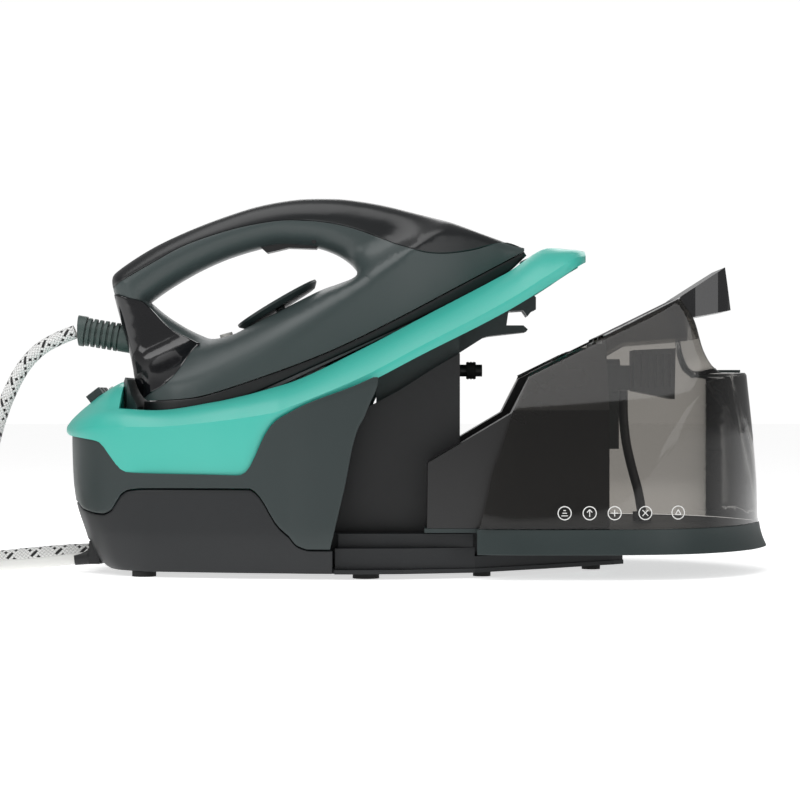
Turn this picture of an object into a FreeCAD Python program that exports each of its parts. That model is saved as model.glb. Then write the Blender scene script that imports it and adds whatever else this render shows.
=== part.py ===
import FreeCAD
import Part
import math
import os

# Steam generator iron: base station with a teal cover, lift-off iron and a
# pull-out water tank. Millimetres, +Z up, centred on X and Y, feet on Z = 0.
# +X is the iron-tip / tank side, -X the control-panel / cord side.

os.makedirs("parts", exist_ok=True)
V = FreeCAD.Vector
doc = FreeCAD.newDocument("steam_generator_iron")
sheet = doc.addObject("Spreadsheet::Sheet", "dims")
_row = [1]
_val = {}


def dim(alias, value):
    """Add one driving dimension to the sheet."""
    r = _row[0]
    _row[0] += 1
    sheet.set("A%d" % r, alias)
    sheet.set("B%d" % r, "%.4f" % float(value))
    sheet.setAlias("B%d" % r, alias)
    _val[alias] = float(value)
    return float(value)


def bind(obj, prop, alias):
    obj.setExpression(prop, "dims." + alias)


# ---- main driving dimensions ------------------------------------------------
wall = dim("wall_thk", 2.6)
tank_wall = dim("tank_wall", 2.2)
slope = dim("sole_slope", 0.477)
sole_ref_x = dim("sole_ref_x", 55.0)
sole_ref_z = dim("sole_ref_z", 186.5)
sole_thk = dim("sole_thk", 3.3)
heater_hgt = dim("heater_height", 12.5)
slot_half = dim("tank_slot_half_width", 60.0)
core_half = dim("core_half_width", 56.0)
slot_end = dim("tank_slot_end_x", 115.0)
nozzle_z = dim("nozzle_axis_z", 128.8)
dial_r = dim("dial_radius", 29.3)
dial_thk = dim("dial_thickness", 4.5)
dial_tilt = dim("dial_tilt_deg", 30.7)
handle_half = dim("handle_half_width", 16.5)
hose_d = dim("steam_hose_dia", 9.0)
cord_d = dim("mains_cord_dia", 7.2)
foot_h = dim("foot_height", 3.4)
ring_mean_r = dim("coil_mean_radius", 52.0)
cord_ring_r = dim("cord_coil_mean_radius", 42.0)
doc.recompute()


def zs(x):
    """Height of the sole plane of the parked iron."""
    return sole_ref_z + (x - sole_ref_x) * slope


# ---- helpers ----------------------------------------------------------------
_n = [0]


def tmp(kind, name=None):
    _n[0] += 1
    o = doc.addObject(kind, (name or "f") + "_%d" % _n[0])
    return o


def sketch(pts, placement):
    sk = tmp("Sketcher::SketchObject", "sk")
    sk.Placement = placement
    q = []
    for p in pts:
        if not q or abs(p[0] - q[-1][0]) + abs(p[1] - q[-1][1]) > 1e-4:
            q.append(p)
    if abs(q[0][0] - q[-1][0]) + abs(q[0][1] - q[-1][1]) < 1e-4:
        q.pop()
    geo = []
    for i in range(len(q)):
        a = q[i]
        b = q[(i + 1) % len(q)]
        geo.append(Part.LineSegment(V(a[0], a[1], 0), V(b[0], b[1], 0)))
    sk.addGeometry(geo, False)
    return sk


def extr(sk, direction, length, alias=None):
    e = tmp("Part::Extrusion", "ex")
    e.Base = sk
    e.DirMode = "Custom"
    e.Dir = direction
    e.Solid = True
    e.LengthFwd = length
    if alias:
        bind(e, "LengthFwd", alias)
    return e


def side(pts, y0, y1, alias=None):
    """Prism from a side outline (x, z) between two Y planes."""
    pl = FreeCAD.Placement(V(0, y0, 0), FreeCAD.Rotation(V(1, 0, 0), 90))
    if alias:
        dim(alias, y1 - y0)
    return extr(sketch(pts, pl), V(0, 1, 0), y1 - y0, alias)


def plan(pts, z0, z1, alias=None):
    """Prism from a plan outline (x, y) between two heights."""
    pl = FreeCAD.Placement(V(0, 0, z0), FreeCAD.Rotation())
    if alias:
        dim(alias, z1 - z0)
    return extr(sketch(pts, pl), V(0, 0, 1), z1 - z0, alias)


def planh(hw, z0, z1, alias=None):
    """Plan prism from half widths [(x, half)], mirrored on Y."""
    return plan(both(hw), z0, z1, alias)


def both(hw):
    pts = [(x, -h) for x, h in hw] + [(x, h) for x, h in reversed(hw)]
    return pts


def front(pts, x0, x1, rise=0.0):
    """Prism from a cross outline (y, z) along X, climbing by rise per mm."""
    pl = FreeCAD.Placement(V(x0, 0, 0), FreeCAD.Rotation(V(0, 1, 1), V(0, 0, 1), V(1, 0, 0), "ZXY"))
    pl = FreeCAD.Placement(FreeCAD.Matrix(0, 0, 1, x0, 1, 0, 0, 0, 0, 1, 0, 0, 0, 0, 0, 1))
    d = V(1, 0, rise)
    ln = (x1 - x0) * math.sqrt(1 + rise * rise)
    return extr(sketch(pts, pl), d, ln)


def section(x, pts):
    pl = FreeCAD.Placement(FreeCAD.Matrix(0, 0, 1, x, 1, 0, 0, 0, 0, 1, 0, 0, 0, 0, 0, 1))
    return sketch(pts, pl)


def loft(secs):
    lo = tmp("Part::Loft", "loft")
    lo.Sections = secs
    lo.Solid = True
    lo.Ruled = True
    return lo


def sym(pts):
    """Half section [(y, z)] from bottom to top, mirrored."""
    return [(-y, z) for y, z in pts] + [(y, z) for y, z in reversed(pts)]


def box(x0, x1, y0, y1, z0, z1, alias=None):
    b = tmp("Part::Box", "box")
    b.Length = x1 - x0
    b.Width = y1 - y0
    b.Height = z1 - z0
    b.Placement = FreeCAD.Placement(V(x0, y0, z0), FreeCAD.Rotation())
    if alias:
        dim(alias + "_len", x1 - x0)
        dim(alias + "_wid", y1 - y0)
        dim(alias + "_hgt", z1 - z0)
        bind(b, "Length", alias + "_len")
        bind(b, "Width", alias + "_wid")
        bind(b, "Height", alias + "_hgt")
    return b


def cyl(p, d, r, length, alias=None):
    c = tmp("Part::Cylinder", "cyl")
    c.Radius = r
    c.Height = length
    c.Placement = FreeCAD.Placement(V(*p), FreeCAD.Rotation(V(0, 0, 1), V(*d)))
    if alias:
        dim(alias + "_rad", r)
        dim(alias + "_hgt", length)
        bind(c, "Radius", alias + "_rad")
        bind(c, "Height", alias + "_hgt")
    return c


def cone(p, d, r1, r2, length, alias=None):
    c = tmp("Part::Cone", "cone")
    c.Radius1 = r1
    c.Radius2 = r2
    c.Height = length
    c.Placement = FreeCAD.Placement(V(*p), FreeCAD.Rotation(V(0, 0, 1), V(*d)))
    if alias:
        dim(alias + "_rad_a", r1)
        dim(alias + "_rad_b", r2)
        dim(alias + "_hgt", length)
        bind(c, "Radius1", alias + "_rad_a")
        bind(c, "Radius2", alias + "_rad_b")
        bind(c, "Height", alias + "_hgt")
    return c


def fuse(*objs):
    if len(objs) == 1:
        return objs[0]
    f = tmp("Part::MultiFuse", "fu")
    f.Shapes = list(objs)
    return f


def cut(a, *tools):
    t = tools[0] if len(tools) == 1 else fuse(*tools)
    c = tmp("Part::Cut", "cu")
    c.Base = a
    c.Tool = t
    return c


def common(a, *bs):
    r = a
    for b in bs:
        c = tmp("Part::Common", "co")
        c.Base = r
        c.Tool = b
        r = c
    return r


def inset(pts, d):
    """Parallel inner outline, mitred."""
    area = 0.0
    m = len(pts)
    for i in range(m):
        x0, y0 = pts[i]
        x1, y1 = pts[(i + 1) % m]
        area += x0 * y1 - x1 * y0
    s = 1.0 if area > 0 else -1.0
    out = []
    for i in range(m):
        ax, ay = pts[i - 1]
        bx, by = pts[i]
        cx, cy = pts[(i + 1) % m]
        u = (bx - ax, by - ay)
        w = (cx - bx, cy - by)
        lu = math.hypot(*u)
        lw = math.hypot(*w)
        n1 = (-u[1] / lu * s, u[0] / lu * s)
        n2 = (-w[1] / lw * s, w[0] / lw * s)
        k = 1 + n1[0] * n2[0] + n1[1] * n2[1]
        k = max(k, 0.25)
        out.append((bx + d * (n1[0] + n2[0]) / k, by + d * (n1[1] + n2[1]) / k))
    return out


nodes = []
BODY = {}


def node(name, obj, body):
    obj.Label = name
    nodes.append((name, obj))
    BODY.setdefault(body, []).append(name)
    return obj


def shape_node(name, shape, body):
    o = doc.addObject("Part::Feature", name)
    o.Shape = shape
    o.Placement = FreeCAD.Placement()
    return node(name, o, body)


def pd_prism(name, pts, plane, offset, length, body, aliases=None):
    """PartDesign body: one sketch on an origin plane, padded."""
    bd = doc.addObject("PartDesign::Body", "pd_" + name)
    sk = bd.newObject("Sketcher::SketchObject", "sk_" + name)
    pl = [f for f in bd.Origin.OriginFeatures if f.Role == plane][0]
    sk.AttachmentSupport = [(pl, "")]
    sk.MapMode = "FlatFace"
    sk.AttachmentOffset = FreeCAD.Placement(V(0, 0, offset), FreeCAD.Rotation())
    geo = []
    for i in range(len(pts)):
        a = pts[i]
        b = pts[(i + 1) % len(pts)]
        geo.append(Part.LineSegment(V(a[0], a[1], 0), V(b[0], b[1], 0)))
    sk.addGeometry(geo, False)
    pad = bd.newObject("PartDesign::Pad", "pad_" + name)
    pad.Profile = sk
    dim(name + "_thk", length)
    bind(pad, "Length", name + "_thk")
    return node(name, bd, body)


def tube_points(pts):
    """Corner radius at every inner route point."""
    rad = []
    for i in range(1, len(pts) - 1):
        a, b, c = V(*pts[i - 1]), V(*pts[i]), V(*pts[i + 1])
        u = (b - a)
        w = (c - b)
        ang = u.getAngle(w)
        rad.append(0.45 * min(u.Length, w.Length) / math.tan(ang / 2))
    return rad


def tube_shape(pts, r, bore=None):
    rad = tube_points(pts)
    edges = []
    cur = V(*pts[0])
    for i in range(1, len(pts) - 1):
        a, b, c = V(*pts[i - 1]), V(*pts[i]), V(*pts[i + 1])
        u = (b - a).normalize()
        w = (c - b).normalize()
        ang = u.getAngle(w)
        t = rad[i - 1] * math.tan(ang / 2)
        p1 = b - u * t
        p2 = b + w * t
        nrm = (w - u).normalize()
        cen = b + nrm * (rad[i - 1] / math.cos(ang / 2))
        mid = cen - nrm * rad[i - 1]
        if (p1 - cur).Length > 1e-6:
            edges.append(Part.LineSegment(cur, p1).toShape())
        edges.append(Part.Arc(p1, mid, p2).toShape())
        cur = p2
    edges.append(Part.LineSegment(cur, V(*pts[-1])).toShape())
    wire = Part.Wire(edges)
    d = (V(*pts[1]) - V(*pts[0])).normalize()
    prof = Part.Wire(Part.makeCircle(r, V(*pts[0]), d))
    sh = wire.makePipeShell([prof], True, False)
    ratio = sh.Volume / (math.pi * r * r * wire.Length)
    print("tube length %.1f mm radii %s volume ratio %.4f" % (wire.Length, ["%.0f" % q for q in rad], ratio))
    return sh


# =============================================================================
# BASE: outer shell
# =============================================================================
# teal cover stations: x, lower edge (y, z), crease (y, z), rim (y, z), crown (y, z), middle z
TEAL = [
    (-226.0, 18, 89.0, 18, 91.0, 14, 93.2, 7, 94.2, 94.4),
    (-222.0, 34, 87.4, 34, 91.5, 27, 95.8, 15, 98.0, 98.6),
    (-212.0, 54, 86.0, 54, 92.2, 44, 99.8, 24, 106.0, 107.3),
    (-200.0, 65.5, 84.0, 66, 93.0, 54, 103.5, 27, 114.8, 116.6),
    (-190.0, 70.0, 72.5, 71, 93.0, 58, 104.5, 28, 119.8, 121.8),
    (-183.0, 72.5, 64.7, 74, 93.0, 60.5, 104.0, 29, 119.0, 121.0),
    (-165.0, 77.0, 63.8, 79, 93.1, 63.0, 103.2, 30, 104.2, 104.4),
    (-127.0, 85.5, 63.3, 88, 96.3, 66.0, 108.4, 30, 109.0, 109.2),
    (-111.0, 88.2, 63.0, 90, 98.3, 66.5, 111.8, 30, 112.3, 112.5),
    (-106.0, 89.0, 65.2, 91, 99.0, 66.3, 113.0, 30, 113.5, 113.7),
    (-101.0, 89.6, 73.8, 91.5, 99.8, 66.0, 114.4, 30, 114.9, 115.1),
    (-95.0, 90.2, 87.0, 92, 100.8, 65.6, 116.1, 30, 116.6, 116.8),
    (-89.0, 90.8, 95.4, 92.4, 101.9, 65.0, 117.8, 30, 118.3, 118.5),
    (-80.0, 91.2, 101.0, 92.6, 105.2, 64.2, 120.6, 30, 121.1, 121.3),
    (-36.0, 89.3, 118.2, 90, 123.4, 57.0, 141.4, 28, 141.9, 142.1),
    (0.0, 81.5, 136.8, 82, 142.4, 49.5, 160.6, 24, 161.0, 161.2),
    (56.0, 62.0, 165.8, 62, 172.2, 33.5, 190.5, 17, 190.8, 190.9),
    (84.5, 51.0, 183.4, 51, 190.3, 26.0, 206.8, 13, 207.3, 207.5),
    (100.0, 43.5, 193.7, 43.5, 199.6, 22.0, 205.4, 11, 205.7, 205.8),
    (106.0, 33.0, 197.2, 33, 201.0, 17.0, 204.3, 8, 204.5, 204.6),
]


def teal_pt(x, k):
    for a, b in zip(TEAL, TEAL[1:]):
        if a[0] <= x <= b[0]:
            f = (x - a[0]) / (b[0] - a[0])
            return a[k] + f * (b[k] - a[k])
    return TEAL[0][k] if x < TEAL[0][0] else TEAL[-1][k]


outer_secs = []
inner_secs = []
for st in TEAL:
    x, yl, zl, yc, zc, yr, zr, yk, zk, zt = st
    outer_secs.append(section(x, sym([(yl, zl), (yc, zc), (yr, zr), (yk, zk)])))
for i, st in enumerate(TEAL):
    x, yl, zl, yc, zc, yr, zr, yk, zk, zt = st
    xi = x
    if i == 0:
        xi = x + wall
    if i == len(TEAL) - 1:
        xi = x - 3.0
    d = 2.5
    inner_secs.append(section(xi, sym([(yl - d - (2 if i == 0 else 0), zl - 6),
                                       (yc - d - (2 if i == 0 else 0), zc - 1.3),
                                       (yr - 1.2 - (2 if i == 0 else 0), zr - 2.7),
                                       (yk - 1.0, zk - 2.9)])))
teal_outer = loft(outer_secs)
teal_inner = loft(inner_secs)

# tub opening for the iron rest
TUB = [(-178.5, 38), (-171.0, 51), (-155.0, 60.0), (-125.0, 61.8), (-100.0, 60.8), (-75.0, 57.6),
       (-50.0, 52.8), (-25.0, 45.6), (0.0, 36.6), (25.0, 26.0), (45.0, 15.6), (58.0, 8.4), (64.0, 3.5)]
tub_hole = planh(TUB, 55, 235, "tub_cut_height")
stop_hole = box(-188.2, -170.0, -46.2, 46.2, 98, 130)

# panel direction and the three push buttons
pa = math.atan2(116.6 - 107.3, 12.0)
pdir = (math.cos(pa), 0.0, math.sin(pa))
pnor = (-math.sin(pa), 0.0, math.cos(pa))
PC = (-206.5, 0.0, 111.2)
btn_y = [-16.0, 0.0, 16.0]
btn_l = dim("button_len", 10.0)
btn_w = dim("button_wid", 11.0)
btn_h = dim("button_hgt", 10.0)


def btn_box(yc, grow, up, down):
    b = tmp("Part::Box", "btn")
    b.Length = btn_l + 2 * grow
    b.Width = btn_w + 2 * grow
    b.Height = up + down
    org = V(*PC) - V(*pdir) * (btn_l / 2 + grow) - V(*pnor) * down + V(0, yc - btn_w / 2 - grow, 0)
    rot = FreeCAD.Rotation(V(0, 1, 0), -math.degrees(pa))
    b.Placement = FreeCAD.Placement(org, rot)
    return b


btn_holes = [btn_box(y, 0.5, 12, 14) for y in btn_y]
lamp_holes = [cyl((PC[0] + pdir[0] * 10.5 - pnor[0] * 8, y, PC[2] + pdir[2] * 10.5 - pnor[2] * 8), pnor, 1.5, 16) for y in btn_y]

nose_seat = side([(66.2, 196.8), (77.3, 202.5), (76.9, 204.6), (65.7, 199.7)], -9.2, 9.2)
top_cover = cut(teal_outer, teal_inner, tub_hole, stop_hole, nose_seat, *(btn_holes + lamp_holes))
node("top_cover", top_cover, "root")

# housing loft
XS = [-222.0, -219.0, -212.0, -200.0, -190.0, -183.0, -165.0, -127.0, -111.0, -100.0, -80.0, -54.0, -22.0]
MID = {-222.0: 22, -219.0: 37, -212.0: 53, -200.0: 65, -190.0: 70, -183.0: 73, -165.0: 79, -127.0: 87.5,
       -111.0: 90.5, -100.0: 92.3, -80.0: 94.8, -54.0: 97.3, -22.0: 98.5}
hs_o, hs_i = [], []
for i, x in enumerate(XS):
    m = MID[x]
    yt = teal_pt(x, 1) if x > -226 else 20
    if i == 0:
        yt = 22
    hs_o.append(section(x, sym([(m - 4.5, 3.2), (m, 28), (m, 46), (min(yt, m), 63.0), (min(yt, m) - 0.0, 124.0)])))
    d = wall + (3 if i == 0 else 0)
    xi = x + (wall if i == 0 else 0) + (6 if i == len(XS) - 1 else 0)
    hs_i.append(section(xi, sym([(m - 4.5 - d, 3.2 - 3), (m - d, 28), (m - d, 46), (min(yt, m) - d, 63.0), (min(yt, m) - d, 130.0)])))
hous_o = loft(hs_o)
hous_i = loft(hs_i)

# side outlines of the two housing pieces
UP_LOW = [(-219.0, 45.2), (-214.5, 41.5), (-200.0, 39.2), (-192.1, 42.5), (-187.0, 50.0), (-183.0, 53.7), (-170.1, 55.4),
          (-103.6, 55.7), (-98.7, 52.0), (-86.5, 32.9), (-80.7, 27.7), (-68.5, 21.1), (-54.6, 18.7)]
UP_TOP = [(-36.0, 118.2), (-80.0, 101.0), (-89.0, 95.4), (-95.0, 87.0), (-101.0, 73.8), (-106.0, 65.2), (-111.0, 63.0),
          (-127.0, 63.3), (-165.0, 63.8), (-183.0, 64.7), (-190.0, 72.5), (-200.0, 84.0), (-212.0, 86.0), (-222.0, 87.4)]
UP = UP_LOW + [(-37.2, 93.3), (-34.5, 97.6), (-30.5, 107.3), (-25.6, 119.0), (-25.2, 123.6)] + UP_TOP + [(-222.2, 87.3), (-220.5, 60.0)]
LOW = [(-219.0, 45.2), (-212.6, 24.5), (-210.1, 16.1), (-206.0, 9.0), (-201.5, 5.3), (-178.2, 3.4), (-52.0, 3.4), (-53.8, 18.7)] + list(reversed(UP_LOW))
INNER_SIDE = [(-219.2, 60.0), (-216.3, 45.6), (-210.0, 25.4), (-207.5, 17.4), (-203.8, 11.0), (-199.5, 7.8), (-178.0, 6.1),
              (-178.0, 0.0), (10.0, 0.0), (10.0, 130.0), (-219.2, 130.0)]
cav = common(hous_i, side(INNER_SIDE, -120, 120))
shell = cut(hous_o, cav)
cord_hole = box(-226, -190, -42.0, -1.0, 5.6, 21.0)
upper = common(shell, side(UP, -120, 120))
node("upper_housing", upper, "root")
lower = cut(common(shell, side(LOW, -120, 120)), cord_hole)
node("lower_housing", lower, "root")

# base plate with the tank tray
FLOOR = [(-176.0, 60), (-165.0, 69), (-127.0, 79.5), (-100.0, 84.5), (-80.0, 87.0), (-52.2, 89.6), (-52.0, 94.5), (-40.0, 95),
         (-10.0, 92), (34.0, 80), (80.0, 46), (112.0, 20), (126.0, 9), (133.0, 2)]
TRAY = [(-51.8, 88), (-10.0, 87), (34.0, 78), (80.0, 44), (112.0, 18.5), (125.0, 8.5), (132.5, 2)]
TRAY_IN = [(-54.0, 85.4), (-10.0, 84.4), (33.0, 75.5), (79.0, 41.3), (110.5, 16.0), (122.0, 7.2), (128.0, 2)]
floor = planh(FLOOR, 3.4, 6.0, "base_floor_thk")
wall_a = cut(planh(TRAY, 6.0, 13.4, "tray_wall_height"), planh(TRAY_IN, 5.0, 20.0))
wall_b = common(cut(planh(TRAY, 13.4, 18.7, "tray_side_height"), planh(TRAY_IN, 5.0, 20.0)), box(-60, 34, -100, 100, 0, 30))
rails = [box(-50, 33, 75.0, 77.6, 6.0, 27.2, "rail_outer"), box(-50, 33, -77.6, -75.0, 6.0, 27.2),
         box(-84, 48, 63.0, 65.4, 6.0, 27.2, "rail_inner"), box(-84, 48, -65.4, -63.0, 6.0, 27.2)]
ribs = [box(-40, -37.5, -84, 84, 6.0, 10.0, "tray_rib"), box(0, 2.5, -83, 83, 6.0, 10.0), box(60, 62.5, -53, 53, 6.0, 10.0),
        box(-120, -117.5, -76, 76, 6.0, 9.0)]
node("base_plate", fuse(floor, wall_a, wall_b, *(rails + ribs)), "root")

feet = []
for i, (fx, fy, fr) in enumerate([(-171.4, 62, 7.5), (-33.0, 78, 8.2), (39.0, 60, 5.5), (112.0, 0, 6.0)]):
    for s_ in ((1, -1) if fy else (1,)):
        feet.append(cyl((fx, s_ * fy, 0), (0, 0, 1), fr, foot_h, "foot_%d%s" % (i, "a" if s_ > 0 else "b")))
node("rubber_feet", fuse(*feet), "root")

# iron rest tray with the heel stop
RIM = [(-178.5, 103.6), (-165.0, 102.6), (-127.0, 107.8), (-111.0, 111.2), (-95.0, 115.5), (-80.0, 120.0), (-58.0, 130.0),
       (-36.0, 140.8), (0.0, 160.0), (56.0, 190.0), (64.0, 194.5)]
tray_side = [(-178.6, zs(-178.6) - 6.2), (64.2, zs(64.2) - 6.2)] + list(reversed(RIM))
tray_out = common(planh(TUB, 50, 220), side(tray_side, -80, 80))
tub_in = inset(both(TUB), 2.2)
tray_cut = common(plan(tub_in, 50, 230), side([(-179, zs(-179) - 3.7), (66, zs(66) - 3.7), (66, 230), (-179, 230)], -80, 80))
heel_stop = side([(-187.9, 98.5), (-187.9, 121.5), (-186.4, 124.0), (-184.4, 122.6), (-181.4, 112.5), (-177.6, 105.5), (-177.6, 98.5)],
                 -46.0, 46.0, "heel_stop_width")
hs_round = planh([(-187.95, 30), (-184.5, 42), (-178.5, 46.0), (-170, 46.0)], 90, 130)
node("rest_tray", fuse(cut(tray_out, tray_cut), common(heel_stop, hs_round)), "root")

pads = []
for i, (xa, xb, yy) in enumerate([(-150.0, -110.0, 34.0), (-60.0, -30.0, 24.0)]):
    for s_ in (-1, 1):
        pads.append(side([(xa, zs(xa) - 3.7), (xb, zs(xb) - 3.7), (xb, zs(xb) - 0.5), (xa, zs(xa) - 0.5)], s_ * yy - 5, s_ * yy + 5))
nose_pad = side([(66.5, 197.1), (77.0, 202.8), (76.6, 204.2), (66.1, 199.3)], -9, 9, "nose_pad_width")
node("rest_pads", fuse(*(pads + [nose_pad])), "root")

# core column between the tank arms
COL = [(-84.0, 28.0), (25.5, 28.0), (25.5, 139.0), (10.5, 130.4), (-12.0, 116.0), (-27.0, 108.0), (-84.0, 80.0)]
col_in = [(-81.4, 25.0), (22.7, 25.0), (22.7, 150.0), (10.5, 150.0), (-12.0, 136.0), (-27.0, 128.0), (-81.4, 100.0)]
col = cut(side(COL, -core_half, core_half, "core_width"), side(col_in, -core_half + 2.6, core_half - 2.6),
          cyl((10, 0, nozzle_z), (1, 0, 0), 4.0, 30), box(-90, -78, -20, 20, 20, 50))
col_feet = [cut(box(-84, 25.5, s_ * 55.0 - 1.0, s_ * 55.0 + 1.0, 6.0, 28.0), box(-40.3, -37.2, -60, 60, 5.0, 10.3), box(-0.3, 2.8, -60, 60, 5.0, 10.3)) for s_ in (-1, 1)]
node("core_column", fuse(col, *col_feet), "root")

# neck and latch hooks that carry the overhanging cover
web = side([(-27.0, 108.0), (-12.0, 116.0), (10.5, 130.4), (25.5, 139.0), (25.5, zs(25.5) - 6.3), (-27.0, zs(-27.0) - 6.3)], -44, 44)
web_in = side([(-24.0, 100.0), (22.7, 100.0), (22.7, zs(22.7) - 9.5), (-24.0, zs(-24.0) - 9.5)], -41, 41)
arm = side([(25.5, 139.6), (41.7, 149.9), (45.6, 150.9), (69.2, 153.6), (70.4, 155.2), (67.5, 157.8), (56.6, 157.8), (57.9, 166.8), (67.5, 167.4),
            (70.1, 163.6), (72.7, 166.8), (75.6, 168.0), (75.6, 176.0), (64.0, 184.0), (58.0, zs(58.0) - 6.4), (25.5, zs(25.5) - 6.3)], -13.5, 13.5,
           "latch_hook_width")
arm_slot = box(28, 66, -4, 4, 152.5, 180)
node("hook_bracket", fuse(cut(web, web_in), cut(arm, box(60, 80, -3.5, 3.5, 150, 172))), "root")

node("nozzle_stem", cut(fuse(cyl((20.0, 0, nozzle_z), (1, 0, 0), 3.9, 21.3, "nozzle_stem"),
                             cyl((19.0, 0, nozzle_z), (1, 0, 0), 6.5, 3.0, "nozzle_flange")),
                        cyl((15, 0, nozzle_z), (1, 0, 0), 2.0, 30)), "root")
seal = [cyl((31.0, 0, nozzle_z), (1, 0, 0), 5.4, 6.2, "nozzle_seal")]
for i in range(3):
    seal.append(cyl((31.6 + 2.0 * i, 0, nozzle_z), (1, 0, 0), 5.7, 1.0))
node("nozzle_seal", cut(fuse(*seal), cyl((28, 0, nozzle_z), (1, 0, 0), 3.9, 12)), "root")

# boiler group
boiler = fuse(cyl((-184.0, 0, 41.0), (1, 0, 0), 28.0, 72.0, "boiler_shell"), cone((-190.0, 0, 41.0), (1, 0, 0), 21.0, 28.0, 6.0, "boiler_end"),
              box(-172, -164, -22, 22, 6.0, 18.0), box(-128, -120, -22, 22, 6.0, 18.0))
node("boiler", boiler, "root")
node("boiler_heater", fuse(cyl((-112.0, 0, 41.0), (1, 0, 0), 24.0, 5.0, "heater_flange"), cyl((-107.0, 14, 52.0), (1, 0, 0), 2.5, 8.0),
                           cyl((-107.0, -14, 52.0), (1, 0, 0), 2.5, 8.0)), "root")
node("boiler_thermostat", fuse(cyl((-150.0, 0, 69.0), (0, 0, 1), 8.0, 6.0, "thermostat_cup"), box(-153, -147, -1, 1, 75.0, 79.0)), "root")
node("relief_valve", fuse(cyl((-126.0, 0, 69.0), (0, 0, 1), 6.0, 9.0, "relief_valve"), cyl((-126.0, 0, 78.0), (0, 0, 1), 3.0, 5.0)), "root")
node("steam_valve_body", box(-172.0, -146.0, 36.0, 58.0, 6.0, 30.0, "steam_valve_block"), "root")
node("steam_valve_coil", fuse(box(-169.0, -149.0, 38.0, 56.0, 30.0, 50.0, "steam_valve_coil"), cyl((-159.0, 47.0, 50.0), (0, 0, 1), 4.0, 4.0)), "root")
pump_bore = cyl((-80.0, 0, 36.0), (1, 0, 0), 11.0, 70)
node("pump_body", cyl((-76.0, 0, 36.0), (1, 0, 0), 11.0, 54.0, "pump_body"), "root")
node("pump_coil", cut(fuse(box(-64.0, -36.0, -17.0, 17.0, 19.0, 53.0, "pump_coil"), box(-60, -40, -10, 10, 6.0, 19.0)), pump_bore), "root")
brd = fuse(box(-172.0, -96.0, -61.6, -60.0, 9.0, 54.0, "control_board"), box(-160, -140, -60.0, -46.0, 30, 44), box(-128, -112, -60.0, -50.0, 16, 34))
node("control_board", fuse(brd, box(-160.0, -156.0, -64.0, -58.0, 6.0, 9.0), box(-110.0, -106.0, -64.0, -58.0, 6.0, 9.0)), "root")
shape_node("inlet_tube", tube_shape([(18.9, 0, nozzle_z), (2.0, 0, nozzle_z), (-14.0, 0, 108.0), (-14.0, 0, 82.0), (-6.0, 0, 58.0), (-8.0, 0, 40.0), (-20.7, 0, 36.4)], 3.5), "root")
node("feed_tube", cyl((-106.9, 0, 36.0), (1, 0, 0), 3.0, 30.8, "feed_tube"), "root")
shape_node("steam_tube", tube_shape([(-172.8, 47, 18.0), (-181.0, 44, 17.5), (-187.0, 30, 16.5), (-190.0, 12, 15.0), (-191.5, -5, 13.6), (-195.6, -12.5, 13.2), (-201.9, -12.5, 13.2)], 3.2), "root")

# cord entry at the lower left
gro = fuse(box(-208.5, -202.0, -41.6, -1.4, 6.0, 20.6, "cord_entry_plate"))
cord_relief = cone((-197.0, -31.0, 10.95), (-1, 0, -0.1), 4.85, 4.2, 22.0, "cord_relief")
hose_bore = cyl((-230, -12.5, 13.2), (1, 0, 0), hose_d / 2, 40)
cord_bore = fuse(cyl((-230, -31.0, 10.4), (1, 0, 0), cord_d / 2, 40), cyl((-202.0, -31.0, 10.4), (-1, 0, -0.1), cord_d / 2, 30))
node("cord_entry_grommet", cut(fuse(gro, cyl((-210.5, -12.5, 13.2), (1, 0, 0), 6.6, 9.0, "hose_lip"), cyl((-210.5, -31.0, 10.4), (1, 0, 0), 4.9, 9.0, "cord_lip"), cord_relief),
                               hose_bore, cord_bore), "root")

# buttons and lamps on the control panel
for nm, y in zip(("power_button", "eco_button", "clean_button"), btn_y):
    b = btn_box(y, 0.0, 4.6, 5.4)
    bind(b, "Length", "button_len")
    bind(b, "Width", "button_wid")
    bind(b, "Height", "button_hgt")
    node(nm, b, nm)
lens = []
for y in btn_y:
    dz = 0.0
    lens.append(cyl((PC[0] + pdir[0] * 10.5 - pnor[0] * 3.0, y, PC[2] + pdir[2] * 10.5 - pnor[2] * 3.0), pnor, 1.5, 3.0))
node("indicator_lenses", fuse(*lens), "root")

# =============================================================================
# WATER TANK (shown pulled out)
# =============================================================================
PT = [(35.4, 31.0), (39.1, 45.9), (44.0, 67.1), (48.5, 78.8), (56.2, 101.8), (67.6, 126.3), (164.9, 174.6), (172.4, 161.7),
      (177.2, 140.3), (181.6, 131.2), (186.6, 126.9), (206.8, 126.9), (208.2, 125.4), (218.5, 58.3), (220.2, 31.0)]
ROOF = [(100.0, 10.0), (99.0, 31.0), (97.5, 60.0), (95.5, 80.0), (88.0, 102.0), (74.0, 126.0), (59.0, 150.0), (43.0, 176.0), (40.0, 190.0)]
PTP = [(20.0, 99.0), (60.0, 100.0), (120.0, 99.0), (140.0, 96.0), (160.0, 89.5), (178.0, 78.0), (193.0, 62.0), (204.0, 45.0), (213.0, 26.0), (219.0, 8.0), (220.5, 2.0)]
roof_pts = sym(ROOF)
tank_o = common(side(PT, -110, 110), planh(PTP, 20, 190), front(roof_pts, 0, 230))
PTi = inset(PT, tank_wall)
PTi = [(x, z) for x, z in PTi]
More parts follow.
